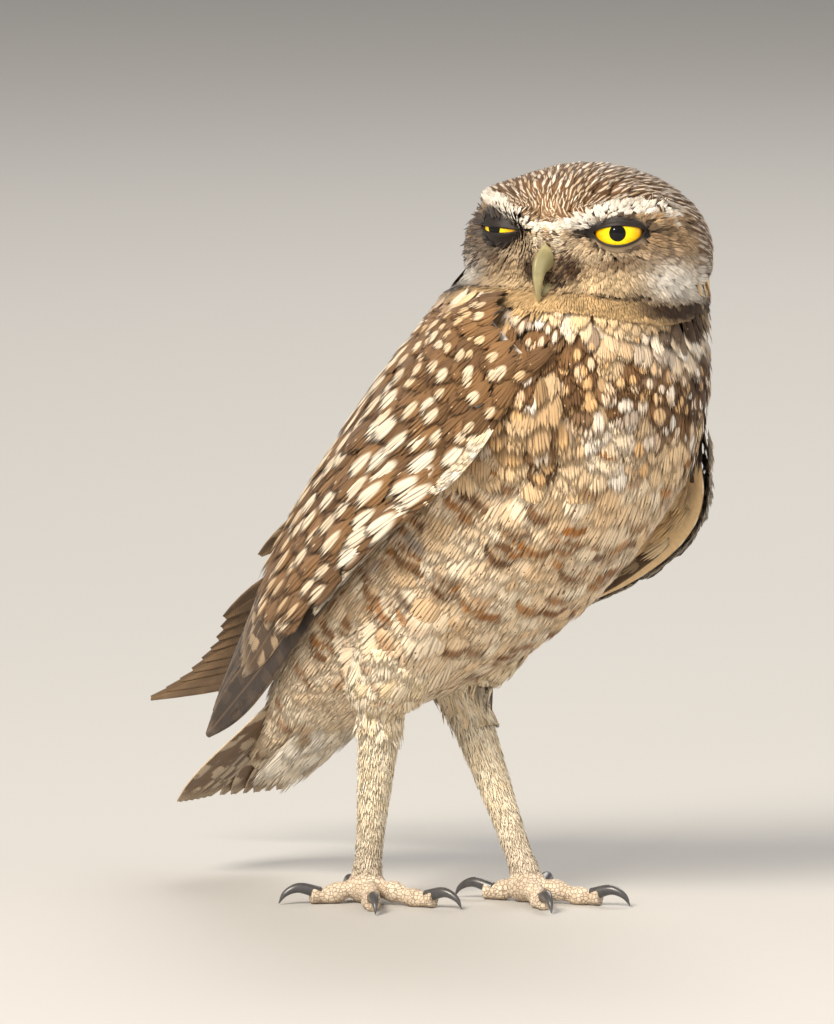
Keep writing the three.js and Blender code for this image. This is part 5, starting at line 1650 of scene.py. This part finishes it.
for name, leg in LEGS.items():
    hip, heel = np.array(THIGHS[name], float)
    foot = np.array(leg["foot"], float)
    shank_path = [heel + (heel - foot) * 0.1, (heel + foot) / 2 + [0, 0, 0.6], foot]
    parts = [closed_tube(limb(shank_path, shank_radius, 60, 32))]
    pad = foot * [1, 1, 0] + [0, 0, 4.2]
    turn, tilt = np.meshgrid(
        np.linspace(0, 2 * np.pi, 40, endpoint=False), np.linspace(-1.5, 1.5, 24), indexing="ij",
    )
    ball = np.stack([np.cos(tilt) * np.cos(turn), np.cos(tilt) * np.sin(turn), np.sin(tilt)], -1)
    ball = ball.transpose(1, 0, 2) * [5.2, 5.2, 4.6] + pad
    ball[..., 2] = np.maximum(ball[..., 2], 0.0)
    parts.append(closed_tube(ball))
    claws = []
    for turn, length in leg["toes"]:
        way = np.array([math.sin(math.radians(turn)), -math.cos(math.radians(turn)), 0])

        def joint(reach, up):
            return pad * [1, 1, 0] + way * reach + [0, 0, up]

        bumps = 3.0 if length > 16 else 2.0

        def toe_radius(s):
            return 2.75 * (1 - 0.24 * s) * (1 + 0.13 * np.cos(s * 2 * np.pi * bumps)) + 0.05 * np.cos(s * 160)

        line = [joint(2, 4), joint(length * 0.4, 3.4), joint(length * 0.72, 2.1), joint(length, 2.3)]
        toe = limb(line, toe_radius, 110, 28, floor=0.0)
        parts.append(closed_tube(toe))
        line = [joint(length + out, up) for out, up in ((-2.5, 2.9), (3.3, 4.3), (6.8, 2.8), (8.4, 0.4))]
        horn = limb(line, claw_radius, 40, 20, floor=0.02)
        claws.append(closed_tube(horn))
    points, triangles = joined([(p, outward(p - p.mean(0), t)) for p, t in parts])
    skin = piece("foot_skin_" + name, points, triangles, SCALES)
    remesh = skin.modifiers.new("merge", "REMESH")
    remesh.mode, remesh.voxel_size, remesh.use_smooth_shade = "VOXEL", FOOT_VOXEL, True
    relax = skin.modifiers.new("relax", "SMOOTH")
    relax.factor, relax.iterations = 0.5, 4
    with bpy.context.temp_override(object=skin, active_object=skin, selected_objects=[skin]):
        bpy.ops.object.modifier_apply(modifier="merge")
        bpy.ops.object.modifier_apply(modifier="relax")
    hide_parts(f"leg_{name}", f"foot_{name}", *(f"toe_{name}_{k}" for k in (1, 2, 3, 4)))
    points, triangles = joined([(p, outward(p - p.mean(0), t)) for p, t in claws])
    talons = piece("talons_" + name, points, triangles, CLAW)
    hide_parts(*(f"claw_{name}_{k}" for k in (1, 2, 3, 4)))

    # Shank feathers: fine, close and pointing down, thinner and greyer towards the toes
    sheet = sample(tube_surface(shank_path, shank_radius), 60, 48, True)
    flip = way_out(sheet, 0.0, spline(np.array(shank_path), np.array([0.5])))
    a, b, rng = sitting(100, 50, 34, 0.0, 0.94)
    n = len(a)
    root = on(sheet, a, b)
    lie = downwards(sheet, a, b) + rng.normal(0, 0.35, (n, 3))
    soft = rng.uniform(0, 1, n)
    tone = mixed(
        mixed(srgb(236, 214, 178), srgb(250, 238, 214), soft),
        mixed(srgb(192, 176, 154), srgb(226, 212, 190), soft), ramp(a, 0.45, 0.9),
    )
    look = looks(n, seed=soft, ground=tone, mark=tone)
    rise = np.full(n, -0.3), rng.uniform(0.25, 0.7, n) * (1 - 0.4 * ramp(a, 0.4, 0.9))
    uv = unwrap(b, a)
    made = coat(
        "shank_feathers_" + name, laid(sheet, a, b, lie, flip), n,
        rng.uniform(4.6, 7.5, n) * (1 - 0.4 * ramp(a, 0.5, 0.95)), rng.uniform(1.1, 1.6, n), rise, look, uv,
        locks=3, seed=101, fan=0.6, girth=1.0, crown=0.1,
    )

    # Thigh: long soft cream feathers that hang over the heel
    thigh_path = [hip, mixed(hip, heel, 0.5), heel + [0, 0, 2], heel + (foot - heel) * 0.24]
    sheet = sample(tube_surface(thigh_path, thigh_radius), 60, 64, True)
    flip = way_out(sheet, 0.0, spline(np.array(thigh_path), np.array([0.5])))
    a, b, rng = sitting(110, 20, 24, 0.14, 0.76)
    n = len(a)
    lie = downwards(sheet, a, b) + rng.normal(0, 0.5, (n, 3))
    soft = rng.uniform(0, 1, n)
    tone = mixed(srgb(236, 210, 168), srgb(248, 234, 210), soft)
    look = looks(n, seed=soft, ground=tone, mark=BAR, bar=(soft > 0.8) * 0.6 * (a < 0.45))
    rise = -1.5 - 2.0 * (1 - ramp(a, 0.2, 0.4)), rng.uniform(0.0, 0.9, n) - 1.2 * (1 - ramp(a, 0.2, 0.4))
    uv = unwrap(b, a)
    made = coat(
        "thigh_feathers_" + name, laid(sheet, a, b, lie, flip), n,
        13 - 5 * ramp(a, 0.4, 0.8) + rng.normal(0, 0.9, n), 5.6 - 2.4 * ramp(a, 0.25, 0.8), rise, look, uv,
        locks=7, seed=111, girth=1.7,
    )

# Camera at the photograph's angle, soft studio light and a plain pale floor.
PICTURE_HEIGHT, METRES_PER_PIXEL = 1024, 0.00026
LAMPS_AWAY, LAMPS_AIM = 2.5, np.array([0, 0, 0.1])
azimuth, elevation, distance = math.radians(-45), math.radians(6), 4.0
right = np.array([math.cos(azimuth), math.sin(azimuth), 0])
back = np.array(
    [math.sin(azimuth) * math.cos(elevation), -math.cos(azimuth) * math.cos(elevation), math.sin(elevation)]
)
raised = np.cross(back, right)
target = right * -0.01378 + raised * 0.10166 + SHIFT
lens = bpy.data.cameras.new("camera")
lens.sensor_width = 36
lens.lens = lens.sensor_width * distance / (PICTURE_HEIGHT * METRES_PER_PIXEL)
lens.clip_end = 20


def turned_to(back, place):
    """Matrix of a camera or lamp at a place, its own z along back and its x level."""
    right = unit(np.cross(UP, back))
    return Matrix(np.vstack([np.column_stack([right, np.cross(back, right), back, place]), [0, 0, 0, 1]]))


camera = bpy.data.objects.new("camera", lens)
HERE.objects.link(camera)
camera.matrix_world = turned_to(back, target + back * distance)
bpy.context.scene.camera = camera

for name, way, size, power, warmth in (
    ("key", (-0.5, 0.85, 0.8), 1.0, 92.0, (1, 0.91, 0.78)),
    ("fill", (0.9, 0.7, 0.35), 2.2, 19.0, (1, 0.95, 0.88)),
    ("rim", (0.3, -0.9, 0.9), 1.5, 32.0, (1, 0.96, 0.9)),
):
    light = bpy.data.lights.new(name, "AREA")
    light.size, light.energy = size, power
    light.color = warmth
    lamp = bpy.data.objects.new(name, light)
    HERE.objects.link(lamp)
    way = unit(way[0] * right + way[1] * np.array([back[0], back[1], 0]) + way[2] * UP)
    lamp.matrix_world = turned_to(way, LAMPS_AIM + way * LAMPS_AWAY)

# A small lamp, placed so that the near eye shows it to the camera as a dot
centre, looks_at, _ = eye_axes(1)
glint = unit(unit(looks_at - 0.01 * UP) * 8 - right * 0.8 + UP * 1.1)
glint = unit(2 * (glint @ back) * glint - back)
light = bpy.data.lights.new("catchlight", "AREA")
light.size, light.energy = 0.06, 0.9
lamp = bpy.data.objects.new("catchlight", light)
HERE.objects.link(lamp)
lamp.matrix_world = turned_to(glint, SHIFT + centre * 0.001 + glint)
world = bpy.data.worlds.new("studio")
bpy.context.scene.world = world
world.use_nodes = True
world.node_tree.nodes["Background"].inputs[0].default_value = (0.9, 0.88, 0.86, 1)
world.node_tree.nodes["Background"].inputs[1].default_value = 0.54
bpy.context.scene.view_settings.view_transform = "Standard"

FLOOR, tree, bsdf = shader("studio floor", 0.7)
speck = noise(tree, None, 9.0, 3.0)
tree.links.new(
    tint(tree, "MIX", speck, (0.45, 0.44, 0.425, 1), (0.52, 0.51, 0.495, 1)), bsdf.inputs["Base Color"],
)
turn = np.linspace(0, np.pi / 2, 40)
reach = np.concatenate([[-6.0], 4.4 + 1.4 * np.sin(turn), [5.8]])
height = np.concatenate([[0.0], 1.4 - 1.4 * np.cos(turn), [5.0]])
away = np.array([-back[0], -back[1], 0]) / math.cos(elevation)
strip = (reach[:, None] * away + height[:, None] * UP)[:, None] + np.array([-6.0, 6.0])[:, None] * right
strip = strip.reshape(-1, 3)
floor = bpy.data.meshes.new("floor")
floor.from_pydata(
    [tuple(p) for p in strip], [],
    [(2 * i, 2 * i + 1, 2 * i + 3, 2 * i + 2) for i in range(len(reach) - 1)],
)
floor.materials.append(FLOOR)
floor.polygons.foreach_set("use_smooth", [True] * (len(reach) - 1))
ground = bpy.data.objects.new("floor", floor)
HERE.objects.link(ground)
